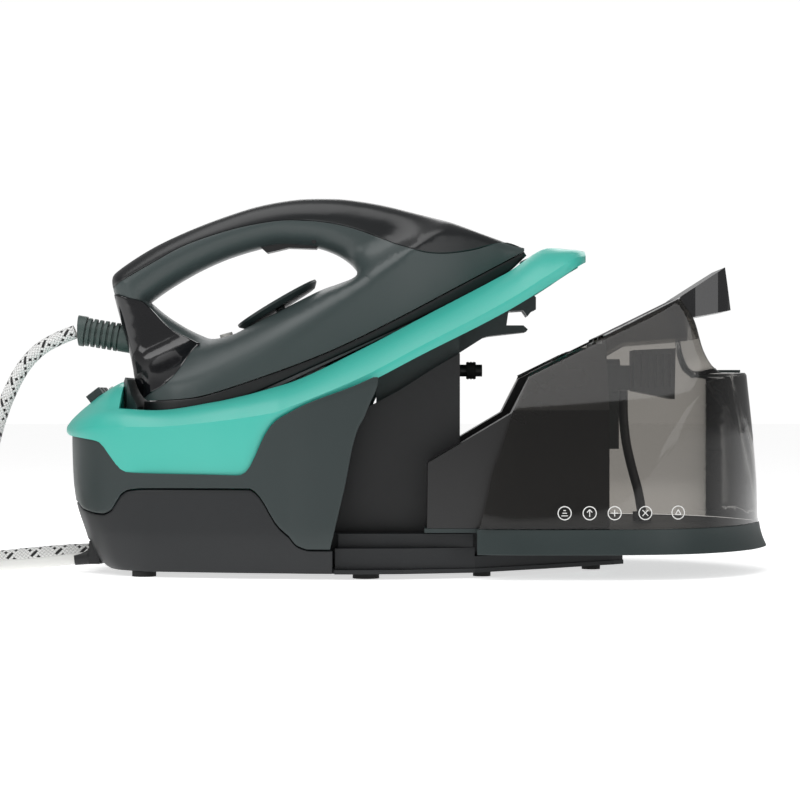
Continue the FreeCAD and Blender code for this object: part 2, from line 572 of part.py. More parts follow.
# inner outline: open at the bottom and at the front
PTi[0] = (20.0, 25.0)
PTi[1] = (20.0, 45.9)
PTi[2] = (20.0, 67.1)
PTi[3] = (20.0, 78.8)
PTi[4] = (20.0, 98.0)
sl = (174.6 - 126.3) / (164.9 - 67.6)
PTi[5] = (20.0, 126.3 - sl * 47.6 - tank_wall * math.sqrt(1 + sl * sl))
PTi[-1] = (PTi[-1][0], 25.0)
PTPi = inset(both(PTP), tank_wall)
PTPi = [(x if x > 40 else 10.0, y) for x, y in PTPi]
roof_in = sym([(y - tank_wall, z) for y, z in ROOF])
tank_i = common(side([p for i, p in enumerate(PTi) if i not in (1, 2, 3, 4)], -110, 110), plan(PTPi, 15, 190), front(roof_in, -5, 240))
CH = [(100.0, 126.0), (115.0, 137.0), (131.5, 146.8), (170.5, 150.0), (170.5, 215.0), (100.0, 215.0)]
CHo = [(115.0, 133.6), (117.6, 136.0), (132.0, 144.4), (172.6, 147.7), (172.6, 215.0), (115.0, 215.0)]
fill_hole = box(190.5, 203.5, -21.0, 21.0, 120, 140)
shell_t = cut(tank_o, tank_i, box(0, slot_end + 0.001, -62.4, 62.4, 0, 200), side(CHo, -18.6, 18.6), fill_hole)
node("tank_shell", shell_t, "tank")

# black inner liner: two hollow arms and the wall across their root
LIN = [(4.6, 31.0), (5.2, 71.1), (56.7, 101.7), (68.0, 123.8), (116.5, 147.9), (116.5, 31.0)]
LINi = inset(LIN, 2.2)
lin_o = common(fuse(side(LIN, slot_half, 85.0, "arm_width"), side(LIN, -85.0, -slot_half)), fuse(tank_i, box(0, 56.0, -86, 86, 20, 101)))
lin_i = common(fuse(side(LINi, slot_half + 2.2, 82.8), side(LINi, -82.8, -slot_half - 2.2)), front(sym([(y - tank_wall - 2.4, z) for y, z in ROOF]), -5, 240))
lin_wall = common(box(114.2, 116.5, -61.0, 61.0, 31.0, 175.0), tank_i)
socket_bore = cyl((100, 0, nozzle_z), (1, 0, 0), 6.6, 40)
liner = cut(fuse(cut(lin_o, lin_i), lin_wall), side(CHo, -18.6, 18.6), socket_bore, side(CH, -16.0, 16.0))
node("tank_liner", liner, "tank")

# flared skirt with the tank floor
SKT = [(34.6, 97.0), (60.0, 99.4), (120.0, 99.4), (141.0, 96.4), (161.0, 90.0), (179.0, 78.5), (194.0, 62.5), (205.0, 45.5), (214.0, 26.0), (220.0, 8.0), (221.3, 2.0)]
SKB = [(33.6, 100.0), (60.0, 102.8), (120.0, 103.0), (142.5, 100.0), (163.5, 93.6), (182.5, 81.5), (198.0, 65.5), (210.0, 48.0), (219.0, 28.0), (225.0, 9.0), (226.0, 2.0)]


def zsec(z, hw):
    return sketch(both(hw), FreeCAD.Placement(V(0, 0, z), FreeCAD.Rotation()))


sk_o = loft([zsec(15.6, SKB), zsec(31.0, SKT)])
SKTi = [(20.0, 92.0)] + [(x - (2.8 if x > 190 else 0.5), h - 2.8 if h > 9 else max(h - 2.0, 0.8)) for x, h in SKT[1:]]
SKBi = [(20.0, 94.0)] + [(x - (2.8 if x > 190 else 0.5), h - 2.8 if h > 9 else max(h - 2.0, 0.8)) for x, h in SKB[1:]]
sk_i = loft([zsec(12.0, SKBi), zsec(28.0, SKTi)])
slot_box = box(0, slot_end - 0.8, -slot_half, slot_half, 10, 40)
SKIN = [(y - 3.0, z) for y, z in ROOF]
arm_floor = [box(2.4, 36.0, slot_half, 85.0, 27.8, 31.0, "arm_floor"), box(2.4, 36.0, -85.0, -slot_half, 27.8, 31.0)]
skirt = fuse(cut(sk_o, sk_i, slot_box), *arm_floor)
node("tank_skirt", skirt, "tank")

# carrying handle with the latch channel
hnd = common(side([(163.0, 172.8), (166.2, 175.6), (195.0, 194.2), (199.2, 167.0), (172.9, 162.0), (171.0, 166.0)], -45, 45, "tank_handle_width"),
             planh([(160.0, 42.0), (175.0, 39.0), (190.0, 34.0), (197.0, 29.0), (200.0, 25.0)], 150, 200))
hnd = cut(hnd, tank_o)
hnd_in = common(side([(176.0, 168.5), (193.0, 183.6), (195.6, 169.6), (176.0, 165.6)], -28, 28), planh([(160.0, 40.0), (196.0, 26.0)], 150, 200))
chan_o = common(side(CHo, -18.5, 18.5), tank_o)
chan_i = side(CH, -16.0, 16.0)
chan = cut(chan_o, chan_i)
node("latch_channel", cut(chan, lin_wall), "tank")
node("tank_handle", hnd, "tank")

# outlet coupling, suction hose and filter
node("coupling_socket", cut(fuse(box(116.5, 137.0, -11.0, 11.0, 116.0, 132.0, "coupling_socket"), box(121.2, 129.7, -6.0, 6.0, 78.0, 116.0, "coupling_leg"),
                                 cyl((118.5, 0, nozzle_z), (1, 0, 0), 7.4, 12.0, "coupling_collar")),
                            cyl((110, 0, nozzle_z), (1, 0, 0), 6.1, 14.4), cyl((110, 0, nozzle_z), (1, 0, 0), 4.3, 18.6),
                            cyl((110, 0, nozzle_z - 0.0), (1, 0, 0), 2.2, 22), box(119.0, 125.5, -3.0, 3.0, 84.0, 118.0),
                            cyl((116.4, 0, nozzle_z), (1, 0, 0), 2.2, 12)), "tank")
shape_node("suction_hose", tube_shape([(133.0, 0, 115.9), (133.2, 0, 97.0), (135.0, 0, 81.0), (138.5, 0, 66.0), (143.0, 0, 50.0), (145.0, 0, 37.6)], 3.0), "tank")
node("suction_strainer", fuse(cyl((145.3, 0, 31.2), (0, 0, 1), 6.0, 6.0, "strainer")), "tank")
cass = side([(138.6, 115.5), (164.8, 110.2), (165.4, 143.0), (138.6, 141.8)], -15.0, 15.0, "cassette_width")
slots = []
for i in range(5):
    xx = 141.5 + i * 4.7
    slots.append(box(xx, xx + 2.2, -18, -12.5, 118.0, 139.0))
    slots.append(box(xx, xx + 2.2, 12.5, 18, 118.0, 139.0))
cass_cap = box(152.0, 165.4, -15.0, 15.0, 142.0, 146.0)
node("filter_cassette", cut(cass, *slots), "tank")

# filler flap on the rear ledge
LIDZ = 127.3
lid = fuse(box(188.4, 205.6, -24.0, 24.0, LIDZ, LIDZ + 1.6, "lid_plate"), cyl((188.4, -24.0, LIDZ + 1.4), (0, 1, 0), 1.4, 48.0, "lid_knuckle"),
           box(203.0, 207.4, -8.0, 8.0, LIDZ, LIDZ + 1.2))
node("tank_lid", cut(lid, cyl((188.4, -30.0, LIDZ + 1.4), (0, 1, 0), 0.85, 60.0)), "lid")
lugs = [box(187.2, 189.6, s_ * 26.0 - 1.6, s_ * 26.0 + 1.6, 126.9, LIDZ + 2.8) for s_ in (-1, 1)]
node("lid_pin", fuse(cyl((188.4, -27.0, LIDZ + 1.4), (0, 1, 0), 0.8, 54.0, "lid_pin"), *lugs), "tank")

# =============================================================================
# IRON (parked on its rest)
# =============================================================================
PI = [(-175.0, 30.0), (-171.0, 43.0), (-163.0, 51.0), (-150.0, 55.5), (-125.0, 57.5), (-100.0, 56.6), (-75.0, 53.6), (-50.0, 48.8), (-25.0, 41.8),
      (0.0, 33.0), (25.0, 22.6), (45.0, 12.6), (58.0, 5.8), (68.0, 2.2), (70.4, 1.0)]
SK = [(-172.2, 109.1), (-160.7, 109.7), (-138.8, 111.8), (-100.9, 123.5), (-56.0, 140.7), (-14.5, 161.2), (26.4, 183.4), (68.6, 206.3)]
pi_o = both(PI)
PI_LOW = [(x if x > -174 else -172.5, h - 1.6 if h > 4 else max(h - 0.5, 0.4)) for x, h in PI]
pi_sole = plan(inset(pi_o, 0.0), 50, 230)
sole_side = [(-170.0, zs(-170)), (50.0, zs(50)), (53.5, zs(53.5) + sole_thk), (-171.5, zs(-171.5) + sole_thk)]
sole = common(side(sole_side, -70, 70), planh(PI_LOW, 50, 230))
node("soleplate", sole, "iron")
HP = [(-164.0, 38.0), (-150.0, 47.0), (-125.0, 50.5), (-100.0, 49.5), (-75.0, 46.5), (-50.0, 41.5), (-25.0, 34.5), (0.0, 25.5), (20.0, 16.0), (34.0, 8.0)]
heater = common(side([(-165, zs(-165) + sole_thk), (36, zs(36) + sole_thk), (36, zs(36) + sole_thk + heater_hgt), (-165, zs(-165) + sole_thk + heater_hgt)], -70, 70),
                planh(HP, 50, 230))
CP = [(-156.0, 30.0), (-140.0, 40.0), (-100.0, 42.0), (-60.0, 36.0), (-20.0, 25.0), (10.0, 12.0)]
zc_ = sole_thk + heater_hgt
chamber = common(side([(-160, zs(-160) + zc_), (20, zs(20) + zc_), (20, zs(20) + zc_ + 1.6), (-160, zs(-160) + zc_ + 1.6)], -70, 70),
                 planh(CP, 50, 230))
node("heater_plate", fuse(heater, chamber), "iron")

skirt_side = [(-171.6, zs(-171.6) + sole_thk), (53.4, zs(53.4) + sole_thk), (70.3, 203.3), (68.6, 206.3)] + list(reversed(SK[:-1])) + [(-174.8, 109.1), (-174.8, zs(-174.8) + sole_thk)]
sk_out = common(side(skirt_side, -70, 70), planh(PI, 50, 230))
HPc = [(x - 1.0 if x < -160 else x + 1.2, h + 1.6) for x, h in HP] + [(45.0, 5.0)]
sk_cav = planh(HPc, 50, 230)
node("iron_skirt", cut(sk_out, sk_cav), "iron")

# grey shell, handle underside and strut
IROOF = [(62.0, -30.0), (60.0, 12.0), (56.5, 26.0), (50.0, 36.0), (40.0, 45.0), (29.0, 52.0), (21.0, 59.0), (17.0, 68.0), (16.5, 180.0)]


def iroof(d, x0, x1):
    pts = sym([(y - d, z + zs(x0)) for y, z in IROOF])
    return front(pts, x0, x1, slope)


B1 = SK + [(68.6, 208.2), (55.5, 212.0), (40.2, 207.4), (33.6, 205.6), (17.5, 203.2), (3.6, 203.7), (-9.2, 207.4), (-25.2, 213.7), (-41.2, 219.6),
           (-43.5, 197.4), (-39.6, 192.6), (-39.6, 190.0), (-42.4, 187.5), (-52.1, 183.8), (-61.8, 180.5), (-84.0, 169.5), (-110.0, 156.0), (-119.0, 151.6), (-133.2, 149.0),
           (-144.1, 141.1), (-150.5, 130.3), (-158.9, 120.4), (-174.0, 111.2)]
B1i = [(-172.0, 105.0), (-160.7, 105.0), (-138.8, 105.0), (-100.9, 115.0), (-56.0, 133.0), (-14.5, 153.0), (26.4, 173.0), (52.0, 188.0),
       (40.0, 203.8), (32.0, 201.8), (17.5, 199.6), (3.0, 200.2), (-10.0, 203.5), (-26.0, 208.0), (-36.0, 208.0), (-36.2, 190.0), (-40.0, 184.4), (-51.0, 180.6),
       (-61.0, 177.4), (-83.0, 166.6), (-109.0, 153.0), (-118.5, 148.8), (-132.0, 146.0), (-141.0, 139.0), (-147.5, 128.6), (-156.0, 118.2), (-168.0, 110.5)]
b1_o = common(side(B1, -70, 70), planh(PI, 90, 240), iroof(0.0, -200.0, 90.0))
PIin = [(x + (3 if x < -174 else 0), max(h - 2.6, 0.3)) for x, h in PI]
b1_i = common(side(B1i, -70, 70), planh(PIin, 90, 240), iroof(2.6, -200.0, 90.0))
HT = [(-197.9, 182.2), (-187.0, 188.7), (-171.9, 197.4), (-152.2, 208.3), (-132.5, 215.6), (-112.9, 221.0), (-89.1, 224.9), (-73.1, 224.9), (-57.1, 223.3),
      (-41.2, 219.6)]
HB = [(-43.5, 197.4), (-52.2, 203.3), (-65.1, 208.1), (-76.8, 209.4), (-89.7, 209.8), (-100.8, 208.0), (-123.6, 201.1), (-143.5, 192.1), (-163.3, 180.3),
      (-173.6, 172.8), (-180.1, 173.9), (-197.3, 178.1)]
h1 = side(HT + HB, -handle_half, handle_half, "grip_width")
strut = side([(-175.5, 177.0), (-173.6, 172.8), (-164.7, 165.2), (-152.9, 157.5), (-143.1, 152.4), (-133.2, 149.0), (-129.0, 149.6), (-131.0, 145.6),
              (-137.0, 144.8), (-139.9, 145.6), (-159.7, 155.5), (-172.0, 168.0), (-178.0, 173.4), (-180.0, 176.5)], -14, 14)
dn = V(-math.sin(math.radians(dial_tilt)), 0, math.cos(math.radians(dial_tilt)))
DC = V(-92.2, 0, 173.0)
ped_top = DC - dn * (dial_thk + 0.4)
ped_bot = ped_top - dn * 13.0
ped = cone((ped_bot.x, 0, ped_bot.z), (dn.x, 0, dn.z), 25.0, 15.0, 13.0, "dial_pedestal")
ped_bore = cyl((ped_bot.x - dn.x * 4, 0, ped_bot.z - dn.z * 4), (dn.x, 0, dn.z), 3.3, 20)
trig_pocket = box(-106.0, -62.0, -7.6, 7.6, 195.0, 218.6)
pin_bore = cyl((-67.5, -12.0, 212.0), (0, 1, 0), 1.5, 24)
body = cut(fuse(b1_o, h1, strut, ped), b1_i, ped_bore, trig_pocket, pin_bore)
node("iron_body", body, "iron")
node("trigger_pin", cyl((-67.5, -12.0, 212.0), (0, 1, 0), 1.5, 24.0, "trigger_pin"), "iron")
node("microswitch", fuse(box(-99.0, -88.0, -3.0, 3.0, 214.8, 218.6, "microswitch")), "iron")
tr = side([(-103.5, 209.6), (-98.1, 204.9), (-84.2, 208.2), (-66.3, 207.6), (-64.3, 209.5), (-64.3, 213.4), (-70.5, 213.4), (-80.0, 212.6), (-103.5, 212.4)], -6.6, 6.6,
          "trigger_width")
node("steam_trigger", cut(tr, cyl((-67.5, -20, 212.0), (0, 1, 0), 1.6, 40)), "trigger")

HTOP = [(-198.6, 182.6), (-198.6, 189.6), (-193.6, 194.4), (-173.8, 207.4), (-153.8, 217.3), (-129.0, 227.3), (-104.0, 235.3), (-79.2, 239.6), (-57.5, 240.2),
        (-47.1, 239.7), (-25.3, 236.4), (-3.7, 231.2), (17.8, 225.2), (39.4, 217.6), (55.5, 212.1)]
HLOW = [(40.2, 207.4), (33.6, 205.6), (17.5, 203.2), (3.6, 203.7), (-9.2, 207.4), (-25.2, 213.7), (-41.2, 219.6), (-57.1, 223.3), (-73.1, 224.9), (-89.1, 224.9),
        (-112.9, 221.0), (-132.5, 215.6), (-152.2, 208.3), (-171.9, 197.4), (-187.0, 188.7), (-197.9, 182.2)]
node("handle_top", common(side(HTOP + HLOW, -22, 22, "handle_trim_width"),
                          planh([(-199.0, 9.0), (-190.0, 14.5), (-160.0, 16.8), (-60.0, 16.8), (-30.0, 17.4), (0.0, 17.0), (20.0, 13.6), (40.0, 8.4), (56.0, 2.6)], 170, 250)), "iron")

HC = [(-197.3, 178.1), (-180.1, 173.9), (-178.0, 173.4), (-172.0, 168.0), (-159.7, 155.5), (-139.9, 145.6), (-135.5, 147.8), (-144.1, 141.1), (-150.5, 130.3),
      (-158.9, 120.4), (-174.0, 111.2), (-174.6, 110.2), (-179.2, 116.0), (-181.6, 121.7)]
HC = [p for p in HC if p != (-135.5, 147.8)]
HCi = inset(HC, 2.5)
hplan = [(-199.0, 15.0), (-192.0, 24.0), (-184.0, 33.0), (-175.0, 41.5), (-166.0, 47.0), (-150.0, 51.0), (-138.0, 52.0)]
hc_o = common(side(HC, -60, 60), planh(hplan, 100, 190), iroof(0.2, -230.0, 0.0))
hc_i = common(side(HCi, -60, 60), planh([(x + (2.6 if x < -190 else 0), h - 2.6) for x, h in hplan], 100, 190), iroof(2.8, -230.0, 0.0))
sl_a = V(-190.0, 0, 149.6)
sl_b = V(-225.0, 0, 155.6)
sl_d = (sl_b - sl_a).normalize()
sl_bore = cyl((sl_a.x - sl_d.x * 10, 0, sl_a.z - sl_d.z * 10), (sl_d.x, 0, sl_d.z), 9.0, 20)
node("heel_cover", cut(hc_o, hc_i, sl_bore), "iron")
ribs = [cyl((sl_a.x - sl_d.x * 6, 0, sl_a.z - sl_d.z * 6), (sl_d.x, 0, sl_d.z), 7.4, 45.0, "sleeve_core")]
for i in range(6):
    o = 5.0 + i * 3.7
    ribs.append(cyl((sl_a.x + sl_d.x * o, 0, sl_a.z + sl_d.z * o), (sl_d.x, 0, sl_d.z), 9.2, 2.0))
ribs.append(cyl((sl_a.x - sl_d.x * 6, 0, sl_a.z - sl_d.z * 6), (sl_d.x, 0, sl_d.z), 9.0, 10.0))
ribs.append(cyl((sl_a.x + sl_d.x * 26.6, 0, sl_a.z + sl_d.z * 26.6), (sl_d.x, 0, sl_d.z), 9.8, 20.0, "sleeve_collar"))
slv = cut(fuse(*ribs), cyl((sl_a.x - sl_d.x * 20, 0, sl_a.z - sl_d.z * 20), (sl_d.x, 0, sl_d.z), 4.7, 60), box(-260, -220.6, -30, 30, 100, 200))
node("hose_sleeve", slv, "iron")
shape_node("iron_steam_tube", tube_shape([(-220.0, 0, 154.745), (-204.0, 0, 152.0), (-188.0, 0, 149.25), (-174.0, 0, 143.5), (-164.0, 0, 133.0)], 4.5), "iron")
ln = V(-0.27, 0, 1).normalize()
node("iron_lamp", cyl((-124.6, 0, 150.9), (ln.x, 0, ln.z), 4.2, 2.0, "iron_lamp"), "iron")
dial_o = fuse(cone(tuple(DC - dn * dial_thk), (dn.x, 0, dn.z), dial_r - 3.0, dial_r, dial_thk - 1.6, "dial_under"), cyl(tuple(DC - dn * 1.6), (dn.x, 0, dn.z), dial_r, 1.6, "dial_rim"),
              cyl(tuple(DC), (dn.x, 0, dn.z), 9.0, 1.0, "dial_boss"))
node("steam_dial", fuse(dial_o, cyl(tuple(DC - dn * (dial_thk + 14.0)), (dn.x, 0, dn.z), 3.2, 14.5, "dial_shaft")), "dial")

# =============================================================================
# HOSE AND MAINS CORD
# =============================================================================
HOSE_A = [(-222.9, 0.0, 154.0), (-240.5, 0.0, 147.8), (-256.5, 2.0, 133.5), (-268.0, 7.0, 113.0), (-277.0, 17.0, 92.0), (-284.0, 33.0, 73.0), (-292.0, 53.0, 57.0),
          (-304.0, 75.0, 45.0), (-321.0, 93.0, 39.5), (-345.0, 102.0, 37.4)]
HOSE_B = [(-202.0, -12.5, 13.2), (-226.0, -12.5, 12.4), (-250.0, -11.0, 10.2), (-274.0, -8.0, 7.6), (-298.0, -5.0, 5.8), (-322.0, -3.0, 5.2), (-345.0, -2.0, 5.2)]
CORD_A = [(-202.0, -31.0, 10.4), (-222.0, -31.0, 8.4), (-244.0, -31.0, 5.6), (-268.0, -29.0, 4.0), (-293.0, -25.0, 3.7), (-319.0, -21.0, 3.7), (-345.0, -20.0, 3.7)]
CORD_B = [(-345.0, -104.0, 43.0), (-315.0, -107.0, 37.0), (-289.0, -120.0, 26.0), (-274.0, -141.0, 17.0), (-268.0, -164.0, 13.5), (-267.0, -182.0, 13.5)]
shape_node("steam_hose", tube_shape(HOSE_A, hose_d / 2), "root")
shape_node("steam_hose_return", tube_shape(HOSE_B, hose_d / 2), "root")
shape_node("mains_cord", tube_shape(CORD_A, cord_d / 2), "root")
shape_node("mains_cord_tail", tube_shape(CORD_B, cord_d / 2), "root")


def ring(cx, cy, rm, w, h_, alias):
    o = cyl((cx, cy, 0.6), (0, 0, 1), rm + w / 2, h_, alias + "_outer")
    i_ = cyl((cx, cy, -1.0), (0, 0, 1), rm - w / 2, h_ + 4, alias + "_inner")
    return cut(o, i_)


node("steam_hose_coil", ring(-345.0, 50.0, ring_mean_r, 12.0, 41.5, "hose_coil"), "root")
node("mains_coil", ring(-345.0, -62.0, cord_ring_r, 10.0, 46.2, "cord_coil"), "root")

# moulded plug, standard two-pin with side earth contacts
plug = fuse(cyl((-267.0, -223.0, 19.5), (0, 1, 0), 18.5, 24.0, "plug_face"), cone((-267.0, -199.0, 19.5), (0, 1, 0), 18.5, 8.0, 17.0, "plug_taper"))
plug = fuse(plug, cyl((-267.0, -184.0, 13.5), (0, 1, 0), 4.6, 6.0))
node("mains_plug", plug, "root")
node("plug_pins", fuse(cyl((-276.5, -242.0, 19.5), (0, 1, 0), 2.4, 19.0, "plug_pin"), cyl((-257.5, -242.0, 19.5), (0, 1, 0), 2.4, 19.0)), "root")

# =============================================================================
doc.recompute()
bad = 0
final = [o for _, o in nodes]
for o in doc.Objects:
    st = list(o.State)
    if "Invalid" in st or "Error" in st:
        print("STATE", o.Name, o.Label, st)
        bad += 1
lo = [1e9] * 3
hi = [-1e9] * 3
cords = {"steam_hose", "steam_hose_return", "steam_hose_coil", "mains_cord", "mains_cord_tail", "mains_coil", "mains_plug", "plug_pins"}
for name, o in nodes:
    s = o.Shape
    if s.isNull() or not s.isValid() or s.Volume < 1e-3:
        print("BAD SHAPE", name, s.isNull(), (not s.isNull()) and s.isValid(), 0 if s.isNull() else s.Volume)
        bad += 1
        continue
    s.exportStep("parts/" + name + ".step")
    b = s.BoundBox
    print("%-20s solids %d vol %9.0f  x %7.1f %7.1f  y %7.1f %7.1f  z %7.1f %7.1f" % (name, len(s.Solids), s.Volume, b.XMin, b.XMax, b.YMin, b.YMax, b.ZMin, b.ZMax))
    if name not in cords:
        b = s.optimalBoundingBox(True, False) if hasattr(s, "optimalBoundingBox") else b
        for k, (a, c) in enumerate(((b.XMin, b.XMax), (b.YMin, b.YMax), (b.ZMin, b.ZMax))):
            lo[k] = min(lo[k], a)
            hi[k] = max(hi[k], c)
for o in nodes:
    if len(o[1].Shape.Solids) > 1:
        print(o[0], [round(q.Volume) for q in o[1].Shape.Solids], [(round(q.BoundBox.XMin), round(q.BoundBox.XMax), round(q.BoundBox.ZMin), round(q.BoundBox.ZMax)) for q in o[1].Shape.Solids])
print("bounds", ["%.2f" % v for v in lo], ["%.2f" % v for v in hi])
print("bodies", {k: len(v) for k, v in BODY.items()}, "nodes", len(nodes), "bad", bad)
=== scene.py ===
import bpy
import bmesh
import math
import numpy as np
from mathutils import Vector, Matrix, geometry


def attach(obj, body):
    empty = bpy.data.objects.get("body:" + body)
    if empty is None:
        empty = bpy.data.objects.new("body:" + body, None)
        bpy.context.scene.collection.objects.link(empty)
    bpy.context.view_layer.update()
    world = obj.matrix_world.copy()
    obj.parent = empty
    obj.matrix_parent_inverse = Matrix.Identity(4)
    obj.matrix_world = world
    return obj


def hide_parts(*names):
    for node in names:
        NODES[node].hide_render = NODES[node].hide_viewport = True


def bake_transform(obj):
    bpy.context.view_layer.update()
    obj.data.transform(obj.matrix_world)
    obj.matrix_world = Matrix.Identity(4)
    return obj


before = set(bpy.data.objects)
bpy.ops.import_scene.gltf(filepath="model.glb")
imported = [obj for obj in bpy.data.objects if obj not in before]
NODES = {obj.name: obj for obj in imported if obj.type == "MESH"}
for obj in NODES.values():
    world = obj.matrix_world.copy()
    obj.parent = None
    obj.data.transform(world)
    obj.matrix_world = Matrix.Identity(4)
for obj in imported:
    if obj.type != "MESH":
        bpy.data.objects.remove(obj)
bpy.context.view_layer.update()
rng = np.random.default_rng(7)


# =============================================================================
# small numeric helpers (all shapes below are in millimetres)
# =============================================================================
def pchip(xs, ys):
    """Monotone cubic through the points, held flat outside."""
    x = np.array(xs, float)
    y = np.array(ys, float)
    o = np.argsort(x)
    x, y = x[o], y[o]
    h = np.diff(x)
    d = np.diff(y) / h
    m = np.zeros_like(y)
    for i in range(1, len(x) - 1):
        if d[i - 1] * d[i] > 0:
            w1 = 2 * h[i] + h[i - 1]
            w2 = h[i] + 2 * h[i - 1]
            m[i] = (w1 + w2) / (w1 / d[i - 1] + w2 / d[i])
    m[0], m[-1] = d[0], d[-1]

    def f(q):
        q = np.clip(np.asarray(q, float), x[0], x[-1])
        i = np.clip(np.searchsorted(x, q) - 1, 0, len(x) - 2)
        t = (q - x[i]) / h[i]
        t2, t3 = t * t, t * t * t
        return ((2 * t3 - 3 * t2 + 1) * y[i] + (t3 - 2 * t2 + t) * h[i] * m[i] + (-2 * t3 + 3 * t2) * y[i + 1] + (t3 - t2) * h[i] * m[i + 1])
    return f


def smooth01(t):
    t = np.clip(t, 0, 1)
    return t * t * (3 - 2 * t)


def softmin(a, b, k=4.0):
    h = np.clip(0.5 + 0.5 * (b - a) / k, 0, 1)
    return b * (1 - h) + a * h - k * h * (1 - h)


def resample(pts, step, corner=38.0, closed=True):
    """Smooth the outline between its corners and sample it evenly."""
    p = np.array(pts, float)
    n = len(p)
    prv = np.roll(p, 1, 0)
    nxt = np.roll(p, -1, 0)
    a = p - prv
    b = nxt - p
    ang = np.degrees(np.abs(np.arctan2(a[:, 0] * b[:, 1] - a[:, 1] * b[:, 0], (a * b).sum(1))))
    is_c = ang > corner
    if not closed:
        is_c[0] = is_c[-1] = True
    out = []
    rngi = range(n) if closed else range(n - 1)
    for i in rngi:
        j = (i + 1) % n
        p0 = p[i - 1] if not is_c[i] else p[i] - (p[j] - p[i])
        p3 = p[(j + 1) % n] if not is_c[j] else p[j] + (p[j] - p[i])
        p1, p2 = p[i], p[j]
        ln = np.linalg.norm(p2 - p1)
        k = max(1, int(round(ln / step)))
        d01 = max(np.linalg.norm(p1 - p0), 1e-6) ** 0.5
        d12 = max(ln, 1e-6) ** 0.5
        d23 = max(np.linalg.norm(p3 - p2), 1e-6) ** 0.5
        t1 = ((p1 - p0) / d01 - (p2 - p0) / (d01 + d12) + (p2 - p1) / d12) * d12
        t2 = ((p2 - p1) / d12 - (p3 - p1) / (d12 + d23) + (p3 - p2) / d23) * d12
        for q in range(k):
            t = q / k
            out.append((2 * t ** 3 - 3 * t ** 2 + 1) * p1 + (t ** 3 - 2 * t ** 2 + t) * t1 + (-2 * t ** 3 + 3 * t ** 2) * p2 + (t ** 3 - t ** 2) * t2)
    if not closed:
        out.append(p[-1])
    return np.array(out)


def seg_dist(q, lines):
    """Distance from points q (N, 2) to a list of polylines."""
    best = np.full(len(q), 1e9)
    for ln in lines:
        a = ln[:-1]
        b = ln[1:]
        d = b - a
        L = (d * d).sum(1) + 1e-12
        for s in range(0, len(q), 2000):
            qq = q[s:s + 2000]
            t = np.clip(((qq[:, None, :] - a[None]) * d[None]).sum(2) / L[None], 0, 1)
            c = a[None] + t[..., None] * d[None]
            dist = np.sqrt(((qq[:, None, :] - c) ** 2).sum(2)).min(1)
            best[s:s + 2000] = np.minimum(best[s:s + 2000], dist)
    return best


def inside(q, loop):
    x, y = q[:, 0], q[:, 1]
    r = np.zeros(len(q), bool)
    n = len(loop)
    for i in range(n):
        x0, y0 = loop[i]
        x1, y1 = loop[(i + 1) % n]
        if y0 == y1:
            continue
        c = ((y0 > y) != (y1 > y)) & (x < (x1 - x0) * (y - y0) / (y1 - y0) + x0)
        r ^= c
    return r


def close(loop):
    return np.vstack([loop, loop[:1]])


def new_mesh(name, verts, faces, sharp=None, merge=0.02):
    me = bpy.data.meshes.new(name)
    me.from_pydata([tuple(v) for v in (np.asarray(verts, float) * 0.001)], [], [tuple(int(i) for i in f) for f in faces])
    bm = bmesh.new()
    bm.from_mesh(me)
    if merge:
        bmesh.ops.remove_doubles(bm, verts=bm.verts, dist=merge * 0.001)
    bmesh.ops.dissolve_degenerate(bm, dist=1e-6, edges=bm.edges)
    loose = [v for v in bm.verts if not v.link_faces]
    if loose:
        bmesh.ops.delete(bm, geom=loose, context="VERTS")
    bmesh.ops.recalc_face_normals(bm, faces=bm.faces)
    bm.to_mesh(me)
    bm.free()
    me.shade_smooth()
    if sharp is not None:
        me.set_sharp_from_angle(angle=math.radians(sharp))
    ob = bpy.data.objects.new(name, me)
    bpy.context.scene.collection.objects.link(ob)
    return ob


def finish_piece(ob, mat, body, nodes=()):
    if mat is not None:
        ob.data.materials.clear()
        ob.data.materials.append(mat)
    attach(ob, body)
    if nodes:
        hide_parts(*nodes)
    return ob


